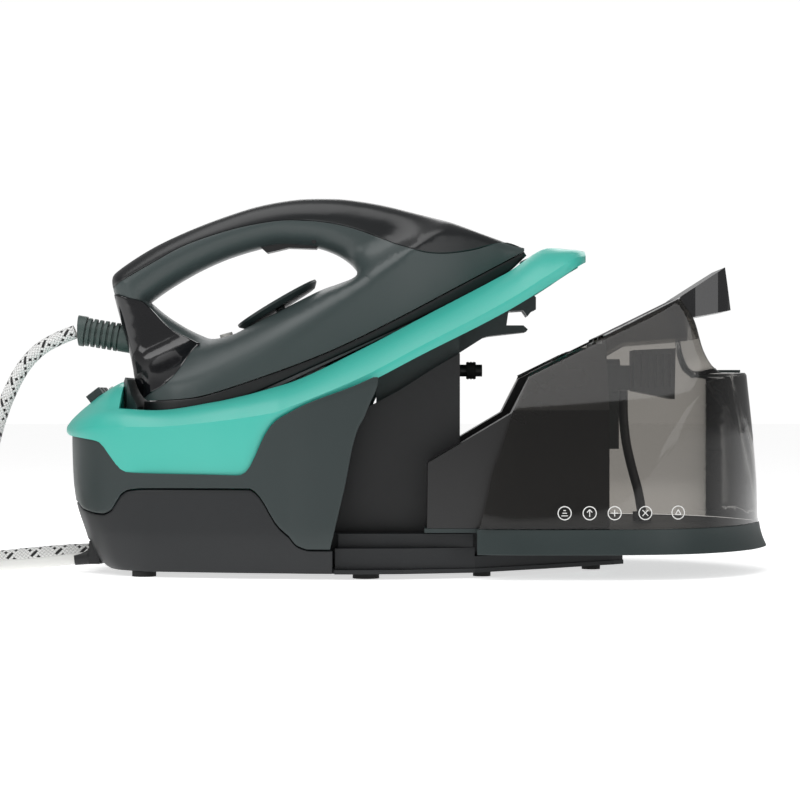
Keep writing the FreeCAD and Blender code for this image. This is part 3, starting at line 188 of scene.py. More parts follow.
def puff(name, outline, holes, width, radius, round_lines, seam_lines=None, step=2.0, grid=3.2, seam_r=0.45, corner=38.0, keep=None, cross=1, sharp=40, rings=(0.3, 0.9, 1.9, 3.3, 5.2)):
    """A solid from its side outline: width(x, z) is the half width, the edge at round_lines is rounded by radius(x, z)."""
    loops = [resample(outline, step, corner)] + [resample(h, step, corner) for h in holes]
    pts = []
    edges = []
    for lp in loops:
        b0 = len(pts)
        pts += [tuple(p) for p in lp]
        edges += [(b0 + i, b0 + (i + 1) % len(lp)) for i in range(len(lp))]
    nb = len(pts)
    lines = [close(lp) for lp in loops]
    cand = []
    for li, lp in enumerate(loops):
        t = np.roll(lp, -1, 0) - np.roll(lp, 1, 0)
        t /= np.linalg.norm(t, axis=1)[:, None] + 1e-9
        nrm = np.stack([-t[:, 1], t[:, 0]], 1)
        for d in rings:
            for sg in (1, -1):
                cand.append((lp + nrm * d * sg, d))
    good = []
    for c, d in cand:
        ok = inside(c, loops[0])
        for h in loops[1:]:
            ok &= ~inside(c, h)
        dd = seg_dist(c, lines)
        ok &= dd > d * 0.93
        good.append(c[ok])
    ring_pts = np.vstack(good) if good else np.zeros((0, 2))
    lo = loops[0].min(0)
    hi = loops[0].max(0)
    gx = np.arange(lo[0], hi[0], grid)
    gz = np.arange(lo[1], hi[1], grid * 0.866)
    G = np.array([(x + (grid / 2 if j % 2 else 0), z) for j, z in enumerate(gz) for x in gx])
    ok = inside(G, loops[0])
    for h in loops[1:]:
        ok &= ~inside(G, h)
    G = G[ok]
    G = G[seg_dist(G, lines) > rings[-1] + grid * 0.55]
    allp = np.vstack([np.array(pts), ring_pts, G])
    key = np.round(allp[nb:] / 0.25).astype(int)
    _, ui = np.unique(key, axis=0, return_index=True)
    allp = np.vstack([allp[:nb], allp[nb:][np.sort(ui)]])
    res = geometry.delaunay_2d_cdt([Vector((float(p[0]), float(p[1]))) for p in allp], edges, [], 0, 1e-5)
    V2 = np.array([(v[0], v[1]) for v in res[0]])
    tri = np.array([f for f in res[2] if len(f) == 3])
    cen = V2[tri].mean(1)
    ok = inside(cen, loops[0])
    for h in loops[1:]:
        ok &= ~inside(cen, h)
    tri = tri[ok]
    W = width(V2[:, 0], V2[:, 1])
    R = np.minimum(radius(V2[:, 0], V2[:, 1]), W)
    D = seg_dist(V2, round_lines) if round_lines else np.full(len(V2), 1e9)
    f = np.sqrt(np.clip(1 - (1 - np.clip(D / np.maximum(R, 1e-6), 0, 1)) ** 2, 0, 1))
    Y = W - R * (1 - f)
    if seam_lines:
        S = seg_dist(V2, seam_lines)
        g = np.sqrt(np.clip(1 - (1 - np.clip(S / (seam_r * 1.6), 0, 1)) ** 2, 0, 1))
        Y = Y - seam_r * (1 - g)
    Y = np.maximum(Y, 0.0)
    n = len(V2)
    near = np.stack([V2[:, 0], -Y, V2[:, 1]], 1)
    far = np.stack([V2[:, 0], Y, V2[:, 1]], 1)
    verts = [near, far]
    faces = [tuple(t) for t in tri] + [tuple(i + n for i in t[::-1]) for t in tri]
    # boundary edges of the triangulation
    from collections import Counter
    cnt = Counter()
    for t in tri:
        for k in range(3):
            e = (t[k], t[(k + 1) % 3])
            cnt[tuple(sorted(e))] += 1
    be = [e for e, c in cnt.items() if c == 1]
    base = 2 * n
    extra = []
    for a, b in be:
        mx, mz = (V2[a] + V2[b]) / 2
        ya, yb = Y[a], Y[b]
        if ya < 1e-4 and yb < 1e-4:
            continue
        m = cross if cross == 1 else max(1, int(cross * max(ya, yb) / 50.0))
        ta = np.linspace(-1, 1, m + 1)
        ia = []
        for t in ta:
            if t == -1:
                ia.append((a, b))
            elif t == 1:
                ia.append((a + n, b + n))
            else:
                extra.append((V2[a][0], t * ya, V2[a][1]))
                extra.append((V2[b][0], t * yb, V2[b][1]))
                ia.append((base + len(extra) - 2, base + len(extra) - 1))
        for k in range(m):
            ym = (ta[k] + ta[k + 1]) / 2 * (ya + yb) / 2
            if keep is not None and not keep(mx, ym, mz):
                continue
            (p, q), (r, s) = ia[k], ia[k + 1]
            faces.append((p, q, s, r))
    if extra:
        verts.append(np.array(extra))
    verts = np.vstack(verts)
    if keep is not None:
        kept = []
        for fc in faces:
            if len(fc) == 3:
                c = verts[list(fc)].mean(0)
                if not keep(c[0], c[1], c[2]):
                    continue
            kept.append(fc)
        faces = kept
    return new_mesh(name, verts, faces, sharp=sharp)


def ring_loft(name, rings_, close_v=True, cap=True, sharp=35, skip=None):
    """Rings of equal point count joined by quads."""
    P = np.array(rings_, float)
    nu, nv = P.shape[:2]
    faces = []
    for i in range(nu - 1):
        for j in range(nv if close_v else nv - 1):
            k = (j + 1) % nv
            if skip and skip(i, j):
                continue
            faces.append((i * nv + j, (i + 1) * nv + j, (i + 1) * nv + k, i * nv + k))
    if cap:
        faces.append(tuple(range(nv)))
        faces.append(tuple((nu - 1) * nv + j for j in reversed(range(nv))))
    return new_mesh(name, P.reshape(-1, 3), faces, sharp=sharp)


# =============================================================================
# materials
# =============================================================================
def srgb(r, g, b):
    out = []
    for c in (r, g, b):
        c = c / 255.0
        out.append(c / 12.92 if c <= 0.04045 else ((c + 0.055) / 1.055) ** 2.4)
    return (*out, 1.0)


def base_mat(name):
    m = bpy.data.materials.new(name)
    m.use_nodes = True
    nt = m.node_tree
    return m, nt, nt.nodes["Principled BSDF"]


def plastic(name, col, rough=0.42, grain=900.0, bump=0.06, vary=0.06, coat=0.0, coat_rough=0.08, rvary=0.06, spec=0.5, metallic=0.0, streak=False):
    m, nt, bs = base_mat(name)
    tc = nt.nodes.new("ShaderNodeTexCoord")
    n1 = nt.nodes.new("ShaderNodeTexNoise")
    n1.inputs["Scale"].default_value = grain
    n1.inputs["Detail"].default_value = 3.0
    n2 = nt.nodes.new("ShaderNodeTexNoise")
    n2.inputs["Scale"].default_value = 14.0
    n2.inputs["Detail"].default_value = 4.0
    nt.links.new(tc.outputs["Object"], n1.inputs["Vector"])
    nt.links.new(tc.outputs["Object"], n2.inputs["Vector"])
    bp = nt.nodes.new("ShaderNodeBump")
    bp.inputs["Strength"].default_value = bump
    bp.inputs["Distance"].default_value = 0.0003
    nt.links.new(n1.outputs["Fac"], bp.inputs["Height"])
    nt.links.new(bp.outputs["Normal"], bs.inputs["Normal"])
    mr = nt.nodes.new("ShaderNodeMapRange")
    mr.inputs["From Min"].default_value = 0.3
    mr.inputs["From Max"].default_value = 0.7
    mr.inputs["To Min"].default_value = max(0.02, rough - rvary)
    mr.inputs["To Max"].default_value = rough + rvary
    nt.links.new(n2.outputs["Fac"], mr.inputs["Value"])
    nt.links.new(mr.outputs["Result"], bs.inputs["Roughness"])
    mx = nt.nodes.new("ShaderNodeMix")
    mx.data_type = "RGBA"
    c = np.array(col[:3])
    mx.inputs["A"].default_value = (*np.clip(c * (1 - vary), 0, 1), 1)
    mx.inputs["B"].default_value = (*np.clip(c * (1 + vary), 0, 1), 1)
    nt.links.new(n2.outputs["Fac"], mx.inputs["Factor"])
    nt.links.new(mx.outputs["Result"], bs.inputs["Base Color"])
    bs.inputs["Specular IOR Level"].default_value = spec
    bs.inputs["Metallic"].default_value = metallic
    bs.inputs["Coat Weight"].default_value = coat
    bs.inputs["Coat Roughness"].default_value = coat_rough
    return m


def metal(name, col, rough=0.3, stretch=(1, 40, 40)):
    m, nt, bs = base_mat(name)
    tc = nt.nodes.new("ShaderNodeTexCoord")
    mp = nt.nodes.new("ShaderNodeMapping")
    mp.inputs["Scale"].default_value = stretch
    n1 = nt.nodes.new("ShaderNodeTexNoise")
    n1.inputs["Scale"].default_value = 30.0
    n1.inputs["Detail"].default_value = 6.0
    nt.links.new(tc.outputs["Object"], mp.inputs["Vector"])
    nt.links.new(mp.outputs["Vector"], n1.inputs["Vector"])
    mr = nt.nodes.new("ShaderNodeMapRange")
    mr.inputs["To Min"].default_value = rough - 0.1
    mr.inputs["To Max"].default_value = rough + 0.15
    nt.links.new(n1.outputs["Fac"], mr.inputs["Value"])
    nt.links.new(mr.outputs["Result"], bs.inputs["Roughness"])
    bp = nt.nodes.new("ShaderNodeBump")
    bp.inputs["Strength"].default_value = 0.08
    bp.inputs["Distance"].default_value = 0.0002
    nt.links.new(n1.outputs["Fac"], bp.inputs["Height"])
    nt.links.new(bp.outputs["Normal"], bs.inputs["Normal"])
    bs.inputs["Base Color"].default_value = (*col[:3], 1)
    bs.inputs["Metallic"].default_value = 1.0
    return m


def smoke(name, tint, per_wall, gloss=0.06):
    """Thin tinted clear plastic wall: tinted see-through plus a sharp surface reflection."""
    m = bpy.data.materials.new(name)
    m.use_nodes = True
    nt = m.node_tree
    nt.nodes.clear()
    out = nt.nodes.new("ShaderNodeOutputMaterial")
    tr = nt.nodes.new("ShaderNodeBsdfTransparent")
    gl = nt.nodes.new("ShaderNodeBsdfGlossy")
    gl.inputs["Roughness"].default_value = gloss
    gl.inputs["Color"].default_value = (1, 1, 1, 1)
    fr = nt.nodes.new("ShaderNodeFresnel")
    fr.inputs["IOR"].default_value = 1.38
    lw = nt.nodes.new("ShaderNodeLayerWeight")
    lw.inputs["Blend"].default_value = 0.5
    mix = nt.nodes.new("ShaderNodeMixShader")
    cm = nt.nodes.new("ShaderNodeMix")
    cm.data_type = "RGBA"
    t = np.array(tint[:3])
    cm.inputs["A"].default_value = (*(t * per_wall), 1)
    cm.inputs["B"].default_value = (*(t * per_wall ** 2.6), 1)
    pw = nt.nodes.new("ShaderNodeMath")
    pw.operation = "POWER"
    pw.inputs[1].default_value = 2.2
    nt.links.new(lw.outputs["Facing"], pw.inputs[0])
    nt.links.new(pw.outputs["Value"], cm.inputs["Factor"])
    nt.links.new(cm.outputs["Result"], tr.inputs["Color"])
    tc = nt.nodes.new("ShaderNodeTexCoord")
    ns = nt.nodes.new("ShaderNodeTexNoise")
    ns.inputs["Scale"].default_value = 9.0
    ns.inputs["Detail"].default_value = 2.0
    bp = nt.nodes.new("ShaderNodeBump")
    bp.inputs["Strength"].default_value = 0.05
    bp.inputs["Distance"].default_value = 0.002
    nt.links.new(tc.outputs["Object"], ns.inputs["Vector"])
    nt.links.new(ns.outputs["Fac"], bp.inputs["Height"])
    nt.links.new(bp.outputs["Normal"], gl.inputs["Normal"])
    df = nt.nodes.new("ShaderNodeBsdfDiffuse")
    df.inputs["Color"].default_value = (0.03, 0.029, 0.028, 1)
    mix0 = nt.nodes.new("ShaderNodeMixShader")
    mix0.inputs["Fac"].default_value = 0.10
    nt.links.new(tr.outputs["BSDF"], mix0.inputs[1])
    nt.links.new(df.outputs["BSDF"], mix0.inputs[2])
    nt.links.new(fr.outputs["Fac"], mix.inputs["Fac"])
    nt.links.new(mix0.outputs["Shader"], mix.inputs[1])
    nt.links.new(gl.outputs["BSDF"], mix.inputs[2])
    nt.links.new(mix.outputs["Shader"], out.inputs["Surface"])
    return m


def braid(name, d_mm):
    """White textile braid with black flecks, mapped by the tube's own UVs (u round, v along in hose diameters)."""
    m, nt, bs = base_mat(name)
    uv = nt.nodes.new("ShaderNodeUVMap")
    uv.uv_map = "tube"
    sep = nt.nodes.new("ShaderNodeSeparateXYZ")
    nt.links.new(uv.outputs["UV"], sep.inputs["Vector"])

    def math_(op, a, b=None):
        n = nt.nodes.new("ShaderNodeMath")
        n.operation = op
        for k, v in enumerate((a, b)):
            if v is None:
                continue
            if isinstance(v, (int, float)):
                n.inputs[k].default_value = v
            else:
                nt.links.new(v, n.inputs[k])
        return n.outputs["Value"]
    U = math_("MULTIPLY", sep.outputs["X"], 12.0)
    Vv = math_("MULTIPLY", sep.outputs["Y"], 3.4)
    A = math_("ADD", U, Vv)
    B = math_("SUBTRACT", U, Vv)
    fa = math_("FRACT", A)
    fb = math_("FRACT", B)
    ia = math_("FLOOR", A)
    ib = math_("FLOOR", B)
    # thread height: each strand is round across itself
    ha = math_("SINE", math_("MULTIPLY", fa, math.pi))
    hb = math_("SINE", math_("MULTIPLY", fb, math.pi))
    par = math_("MODULO", math_("ADD", math_("ADD", ia, ib), 1000.0), 2.0)
    hgt = math_("ADD", math_("MULTIPLY", ha, par), math_("MULTIPLY", hb, math_("SUBTRACT", 1.0, par)))
    bp = nt.nodes.new("ShaderNodeBump")
    bp.inputs["Strength"].default_value = 0.75
    bp.inputs["Distance"].default_value = 0.0006
    nt.links.new(hgt, bp.inputs["Height"])
    nt.links.new(bp.outputs["Normal"], bs.inputs["Normal"])
    # flecks: a black tracer strand, shown in every other crossing
    tra = math_("COMPARE", math_("MODULO", math_("ADD", ia, 600.0), 6.0), 2.0)
    tra.node.inputs[2].default_value = 0.5
    trb = math_("COMPARE", math_("MODULO", math_("ADD", ib, 600.0), 6.0), 4.0)
    trb.node.inputs[2].default_value = 0.5
    show_a = math_("MULTIPLY", tra, par)
    show_b = math_("MULTIPLY", trb, math_("SUBTRACT", 1.0, par))
    fl = math_("MAXIMUM", show_a, show_b)
    tc = nt.nodes.new("ShaderNodeTexCoord")
    ns = nt.nodes.new("ShaderNodeTexNoise")
    ns.inputs["Scale"].default_value = 700.0
    nt.links.new(tc.outputs["Object"], ns.inputs["Vector"])
    # painted shade: the white braid goes grey towards each strand's edge, in the grooves between strands, following
    # thread height
    groove_shaded_white = nt.nodes.new("ShaderNodeMix")
    groove_shaded_white.data_type = "RGBA"
    groove_shaded_white.inputs["A"].default_value = (0.55, 0.55, 0.54, 1)
    groove_shaded_white.inputs["B"].default_value = (0.92, 0.92, 0.91, 1)
    nt.links.new(hgt, groove_shaded_white.inputs["Factor"])
    mx = nt.nodes.new("ShaderNodeMix")
    mx.data_type = "RGBA"
    nt.links.new(fl, mx.inputs["Factor"])
    nt.links.new(groove_shaded_white.outputs["Result"], mx.inputs["A"])
    mx.inputs["B"].default_value = (0.012, 0.012, 0.013, 1)
    nt.links.new(mx.outputs["Result"], bs.inputs["Base Color"])
    mr = nt.nodes.new("ShaderNodeMapRange")
    mr.inputs["To Min"].default_value = 0.6
    mr.inputs["To Max"].default_value = 0.9
    nt.links.new(ns.outputs["Fac"], mr.inputs["Value"])
    nt.links.new(mr.outputs["Result"], bs.inputs["Roughness"])
    bs.inputs["Sheen Weight"].default_value = 0.2
    return m


TEAL = plastic("mat_teal", srgb(60, 184, 168), rough=0.34, grain=1400, bump=0.03, vary=0.02, coat=0.25, coat_rough=0.25)
SLATE = plastic("mat_slate", srgb(38, 49, 49), rough=0.42, grain=1300, bump=0.07, vary=0.04)
DARK = plastic("mat_dark", srgb(17, 20, 23), rough=0.48, grain=1200, bump=0.09, vary=0.05)
IRONG = plastic("mat_iron_grey", srgb(58, 68, 68), rough=0.36, grain=1400, bump=0.05, vary=0.03)
GLOSS = plastic("mat_gloss_black", srgb(14, 14, 17), rough=0.14, grain=500, bump=0.01, vary=0.05, coat=0.4, coat_rough=0.05, rvary=0.03)
BLACK = plastic("mat_black", srgb(13, 14, 16), rough=0.45, grain=1200, bump=0.08, vary=0.08)
LINER = plastic("mat_liner", srgb(12, 11, 12), rough=0.3, grain=600, bump=0.02, vary=0.06, coat=0.2)
RUBBER = plastic("mat_rubber", srgb(18, 18, 18), rough=0.75, grain=1600, bump=0.15, vary=0.1)
PADM = plastic("mat_pad", srgb(48, 52, 52), rough=0.7, grain=1500, bump=0.12, vary=0.08)
RIBBED = plastic("mat_sleeve", srgb(62, 76, 73), rough=0.5, grain=1400, bump=0.1, vary=0.06)
CASS = plastic("mat_cassette", srgb(58, 60, 60), rough=0.5, grain=1100, bump=0.1, vary=0.08)
SOLE = plastic("mat_sole_coat", srgb(95, 96, 98), rough=0.28, grain=1800, bump=0.1, vary=0.1, metallic=0.6)
CORDM = plastic("mat_cord", srgb(224, 224, 221), rough=0.42, grain=1500, bump=0.06, vary=0.03)
PLUGM = plastic("mat_plug", srgb(218, 218, 215), rough=0.4, grain=1500, bump=0.06, vary=0.03)
TUBEM = plastic("mat_silicone", srgb(190, 188, 180), rough=0.35, grain=400, bump=0.03, vary=0.05)
SUCT = plastic("mat_suction", srgb(52, 52, 54), rough=0.35, grain=500, bump=0.03, vary=0.08)
BOARD = plastic("mat_board", srgb(30, 92, 48), rough=0.35, grain=300, bump=0.05, vary=0.25)
LENS = plastic("mat_lens", srgb(215, 214, 208), rough=0.2, grain=600, bump=0.01, vary=0.02, coat=0.5)
PRINT = plastic("mat_print_white", srgb(228, 228, 226), rough=0.5, grain=1500, bump=0.03, vary=0.02)
STEEL = metal("mat_steel", (0.62, 0.62, 0.63), 0.3)
ALU = metal("mat_aluminium", (0.72, 0.72, 0.73), 0.42, (8, 8, 8))
BRASS = metal("mat_brass", (0.72, 0.52, 0.22), 0.3)
SMOKE = smoke("mat_smoke", (1.0, 0.97, 0.925), 0.50)
TRIM = plastic("mat_trim_black", srgb(20, 22, 24), rough=0.3, grain=1400, bump=0.03, vary=0.04)
BRAID = braid("mat_braid", 9.0)

# =============================================================================
# camera, light, floor
# =============================================================================
sc = bpy.context.scene
cam = bpy.data.objects.new("camera", bpy.data.cameras.new("camera"))
sc.collection.objects.link(cam)
cam.location = (-0.012, -1.5, 0.110)
cam.rotation_euler = (math.radians(90), 0, 0)
cam.data.sensor_width = 36.0
cam.data.lens = 36.0 * 1500.0 / 520.0
cam.data.clip_start = 0.05
cam.data.clip_end = 60.0
sc.camera = cam
sc.view_settings.view_transform = "Standard"
sc.view_settings.look = "None"
sc.view_settings.exposure = 0.0


def area(name, loc, target, size, size_y, power, col=(1, 1, 1)):
    ld = bpy.data.lights.new(name, "AREA")
    ld.shape = "RECTANGLE"
    ld.size = size
    ld.size_y = size_y
    ld.energy = power
    ld.color = col
    ob = bpy.data.objects.new(name, ld)
    sc.collection.objects.link(ob)
    ob.location = loc
    ob.rotation_euler = (Vector(target) - Vector(loc)).to_track_quat("-Z", "Y").to_euler()
    return ob


area("key_top", (-0.25, -0.35, 1.25), (0.0, 0.0, 0.12), 1.3, 0.9, 8.0)
area("front_left", (-1.15, -1.25, 0.75), (-0.05, 0.0, 0.12), 0.7, 0.9, 4.2)
area("front_right", (1.25, -1.3, 0.55), (0.05, 0.0, 0.1), 0.5, 1.0, 2.4)
area("back_rim", (0.2, 1.3, 0.9), (0.0, 0.0, 0.12), 1.4, 0.5, 4.5)

world = bpy.data.worlds.new("studio")
sc.world = world
world.use_nodes = True
wn = world.node_tree
bg = wn.nodes["Background"]
bg.inputs["Color"].default_value = (1, 1, 1, 1)
bg.inputs["Strength"].default_value = 0.36
lp = wn.nodes.new("ShaderNodeLightPath")
bg2 = wn.nodes.new("ShaderNodeBackground")
bg2.inputs["Color"].default_value = (1, 1, 1, 1)
bg2.inputs["Strength"].default_value = 1.02
mxw = wn.nodes.new("ShaderNodeMixShader")
wn.links.new(lp.outputs["Is Camera Ray"], mxw.inputs["Fac"])
wn.links.new(bg.outputs["Background"], mxw.inputs[1])
wn.links.new(bg2.outputs["Background"], mxw.inputs[2])
wn.links.new(mxw.outputs["Shader"], wn.nodes["World Output"].inputs["Surface"])

fm = bpy.data.materials.new("mat_floor")
fm.use_nodes = True
fb = fm.node_tree.nodes["Principled BSDF"]
fb.inputs["Roughness"].default_value = 0.9
fb.inputs["Specular IOR Level"].default_value = 0.1
fn = fm.node_tree.nodes.new("ShaderNodeTexNoise")
fn.inputs["Scale"].default_value = 3.0
ftc = fm.node_tree.nodes.new("ShaderNodeTexCoord")
fm.node_tree.links.new(ftc.outputs["Object"], fn.inputs["Vector"])
fmx = fm.node_tree.nodes.new("ShaderNodeMix")
fmx.data_type = "RGBA"
fmx.inputs["A"].default_value = (0.93, 0.93, 0.93, 1)
fmx.inputs["B"].default_value = (0.95, 0.95, 0.95, 1)
fm.node_tree.links.new(fn.outputs["Fac"], fmx.inputs["Factor"])
fm.node_tree.links.new(fmx.outputs["Result"], fb.inputs["Base Color"])
fb.inputs["Emission Color"].default_value = (1, 1, 1, 1)
fb.inputs["Emission Strength"].default_value = 0.62
fme = bpy.data.meshes.new("floor")
fme.from_pydata([(-6, -3, 0), (6, -3, 0), (6, 9, 0), (-6, 9, 0)], [], [(0, 1, 2, 3)])
floor = bpy.data.objects.new("floor", fme)
sc.collection.objects.link(floor)
fme.materials.append(fm)

# =============================================================================
# hose and mains cord: the routes of the frame's solids as spline control points
# =============================================================================
HOSE_A = [(-222.9, 0.0, 154.0), (-240.5, 0.0, 147.8), (-256.5, 2.0, 133.5), (-268.0, 7.0, 113.0), (-277.0, 17.0, 92.0), (-284.0, 33.0, 73.0), (-292.0, 53.0, 57.0),
          (-304.0, 75.0, 45.0), (-321.0, 93.0, 39.5), (-345.0, 102.0, 37.4)]
HOSE_B = [(-202.0, -12.5, 13.2), (-226.0, -12.5, 12.4), (-250.0, -11.0, 10.2), (-274.0, -8.0, 7.6), (-298.0, -5.0, 5.8), (-322.0, -3.0, 5.2), (-345.0, -2.0, 5.2)]
CORD_A = [(-202.0, -31.0, 10.4), (-222.0, -31.0, 8.4), (-244.0, -31.0, 5.6), (-268.0, -29.0, 4.0), (-293.0, -25.0, 3.7), (-319.0, -21.0, 3.7), (-345.0, -20.0, 3.7)]
CORD_B = [(-345.0, -104.0, 43.0), (-315.0, -107.0, 37.0), (-289.0, -120.0, 26.0), (-274.0, -141.0, 17.0), (-268.0, -164.0, 13.5), (-267.0, -182.0, 13.5)]
HOSE_R, CORD_R = 4.5, 3.6


def coil_points(cx, cy, r, z0, z1, turns, seed):
    g = np.random.default_rng(seed)
    n = int(turns * 16)
    out = []
    wob = g.normal(0, 0.35, n + 1)
    for i in range(1, n):
        a = math.pi / 2 + 2 * math.pi * turns * i / n
        t = i / n
        rr = r + wob[i] + 1.2 * math.sin(2.3 * a / (2 * math.pi) + seed)
        out.append((cx + rr * math.cos(a), cy + rr * math.sin(a), z0 + (z1 - z0) * t))
    return out


def nurbs_path(points):
    cu = bpy.data.curves.new("route", "CURVE")
    cu.dimensions = "3D"
    sp = cu.splines.new("NURBS")
    sp.points.add(len(points) - 1)
    for p, q in zip(sp.points, points):
        p.co = (q[0] * 0.001, q[1] * 0.001, q[2] * 0.001, 1)
    sp.order_u = 3
    sp.use_endpoint_u = True
    sp.resolution_u = 6
    ob = bpy.data.objects.new("route", cu)
    sc.collection.objects.link(ob)
    bpy.context.view_layer.update()
    me = bpy.data.meshes.new_from_object(ob)
    pts = np.array([v.co for v in me.vertices])
    bpy.data.objects.remove(ob)
    bpy.data.curves.remove(cu)
    bpy.data.meshes.remove(me)
    keep_ = [0]
    for i in range(1, len(pts)):
        if np.linalg.norm(pts[i] - pts[keep_[-1]]) > 2e-4:
            keep_.append(i)
    return pts[keep_]


def tube_mesh(name, pts, r, seg=20, caps=True):
    """Round tube along points (metres), with UVs: u round, v along in diameters."""
    P = np.asarray(pts)
    T = np.gradient(P, axis=0)
    T /= np.linalg.norm(T, axis=1)[:, None]
    up = np.array([0, 0, 1.0]) if abs(T[0][2]) < 0.9 else np.array([0, 1.0, 0])
    N = np.cross(T[0], up)
    N /= np.linalg.norm(N)
    frames = [N]
    for i in range(1, len(P)):
        v = frames[-1] - T[i] * np.dot(frames[-1], T[i])
        frames.append(v / np.linalg.norm(v))
    N = np.array(frames)
    Bn = np.cross(T, N)
    s = np.concatenate([[0], np.cumsum(np.linalg.norm(np.diff(P, axis=0), axis=1))])
    a = np.linspace(0, 2 * math.pi, seg, endpoint=False)
    R = np.full(len(P), r) if np.isscalar(r) else np.asarray(r)
    verts = (P[:, None, :] + (N[:, None, :] * np.cos(a)[None, :, None] + Bn[:, None, :] * np.sin(a)[None, :, None]) * R[:, None, None]).reshape(-1, 3)
    faces, uvs = [], []
    n = len(P)
    for i in range(n - 1):
        for j in range(seg):
            k = (j + 1) % seg
            faces.append((i * seg + j, i * seg + k, (i + 1) * seg + k, (i + 1) * seg + j))
            u0, u1 = j / seg, (j + 1) / seg
            v0, v1 = s[i] / (2 * R[0]), s[i + 1] / (2 * R[0])
            uvs += [(u0, v0), (u1, v0), (u1, v1), (u0, v1)]
    if caps:
        faces.append(tuple(reversed(range(seg))))
        uvs += [(0, 0)] * seg
        faces.append(tuple((n - 1) * seg + j for j in range(seg)))
        uvs += [(0, 0)] * seg
    me = bpy.data.meshes.new(name)
    me.from_pydata([tuple(v) for v in verts], [], faces)
    uvl = me.uv_layers.new(name="tube")
    uvl.data.foreach_set("uv", np.array(uvs, np.float32).ravel())
    me.shade_smooth()
    me.set_sharp_from_angle(angle=math.radians(50))
    ob = bpy.data.objects.new(name, me)
    sc.collection.objects.link(ob)
    return ob


def run_length(p):
    return float(np.linalg.norm(np.diff(p, axis=0), axis=1).sum())


hose_route = HOSE_A + coil_points(-345.0, 50.0, 52.0, 37.4, 5.2, 3.5, 3) + list(reversed(HOSE_B))
hp = nurbs_path(hose_route)
hose = tube_mesh("steam_hose_braided", hp, HOSE_R * 0.001, 22)
hose.data.materials.append(BRAID)
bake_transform(hose)
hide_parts("steam_hose", "steam_hose_return", "steam_hose_coil")
cord_route = CORD_A + coil_points(-345.0, -62.0, 42.0, 3.7, 43.0, 5.5, 5) + CORD_B
cp = nurbs_path(cord_route)
mc = bpy.data.curves.new("mains_lead", "CURVE")
mc.dimensions = "3D"
msp = mc.splines.new("NURBS")
msp.points.add(len(cord_route) - 1)
for p_, q_ in zip(msp.points, cord_route):
    p_.co = (q_[0] * 0.001, q_[1] * 0.001, q_[2] * 0.001, 1)
msp.order_u = 3
msp.use_endpoint_u = True
msp.resolution_u = 8
mc.bevel_depth = CORD_R * 0.001
mc.bevel_resolution = 5
mc.use_fill_caps = True
mains = bpy.data.objects.new("mains_lead", mc)
sc.collection.objects.link(mains)
finish_piece(mains, CORDM, "base", ("mains_cord", "mains_cord_tail", "mains_coil"))
print("hose length", run_length(hp), "mains length", run_length(cp))
flex = mains

# =============================================================================
# which CAD nodes keep their own mesh, with a softened edge
# =============================================================================
CARRY = {
    "base_plate": DARK, "rubber_feet": RUBBER, "rest_tray": SLATE, "rest_pads": PADM, "core_column": BLACK, "hook_bracket": SLATE,
    "nozzle_stem": BLACK, "nozzle_seal": RUBBER, "boiler": STEEL, "boiler_heater": STEEL, "boiler_thermostat": ALU, "relief_valve": BRASS,
    "steam_valve_body": BRASS, "steam_valve_coil": BLACK, "pump_body": BLACK, "pump_coil": STEEL, "control_board": BOARD, "inlet_tube": TUBEM,
    "feed_tube": TUBEM, "steam_tube": TUBEM, "cord_entry_grommet": BLACK, "indicator_lenses": LENS, "mains_plug": PLUGM, "plug_pins": BRASS,
    "power_button": SLATE, "eco_button": SLATE, "clean_button": SLATE, "tank_liner": LINER, "latch_channel": SMOKE,
    "coupling_socket": SLATE, "suction_hose": SUCT, "suction_strainer": BLACK, "filter_cassette": CASS, "lid_pin": STEEL, "tank_lid": SLATE,
    "soleplate": SOLE, "heater_plate": ALU, "iron_steam_tube": TUBEM, "iron_lamp": LENS, "trigger_pin": BLACK,
    "microswitch": BLACK, "steam_trigger": BLACK, "steam_dial": SLATE, "tank_handle": GLOSS, "hose_sleeve": RIBBED,
}
BEVEL = {"hook_bracket": 1.2, "core_column": 1.0, "tank_handle": 3.0, "power_button": 1.4, "eco_button": 1.4, "clean_button": 1.4, "steam_trigger": 1.2,
         "base_plate": 0.7, "rest_tray": 0.6, "tank_liner": 0.9, "filter_cassette": 0.9, "coupling_socket": 0.8, "rubber_feet": 0.8, "nozzle_seal": 0.35,
         "steam_dial": 0.9, "hose_sleeve": 0.35, "mains_plug": 1.5, "rest_pads": 0.6, "tank_lid": 0.5}
for nm, mt in CARRY.items():
    ob = NODES.get(nm)
    if ob is None:
        continue
    ob.data.materials.clear()
    ob.data.materials.append(mt)
    bv = ob.modifiers.new("soft_edge", "BEVEL")
    bv.width = BEVEL.get(nm, 0.4) * 0.001
    bv.segments = 3
    bv.limit_method = "ANGLE"
    bv.angle_limit = math.radians(28)
    bv.harden_normals = True
    bv.use_clamp_overlap = True

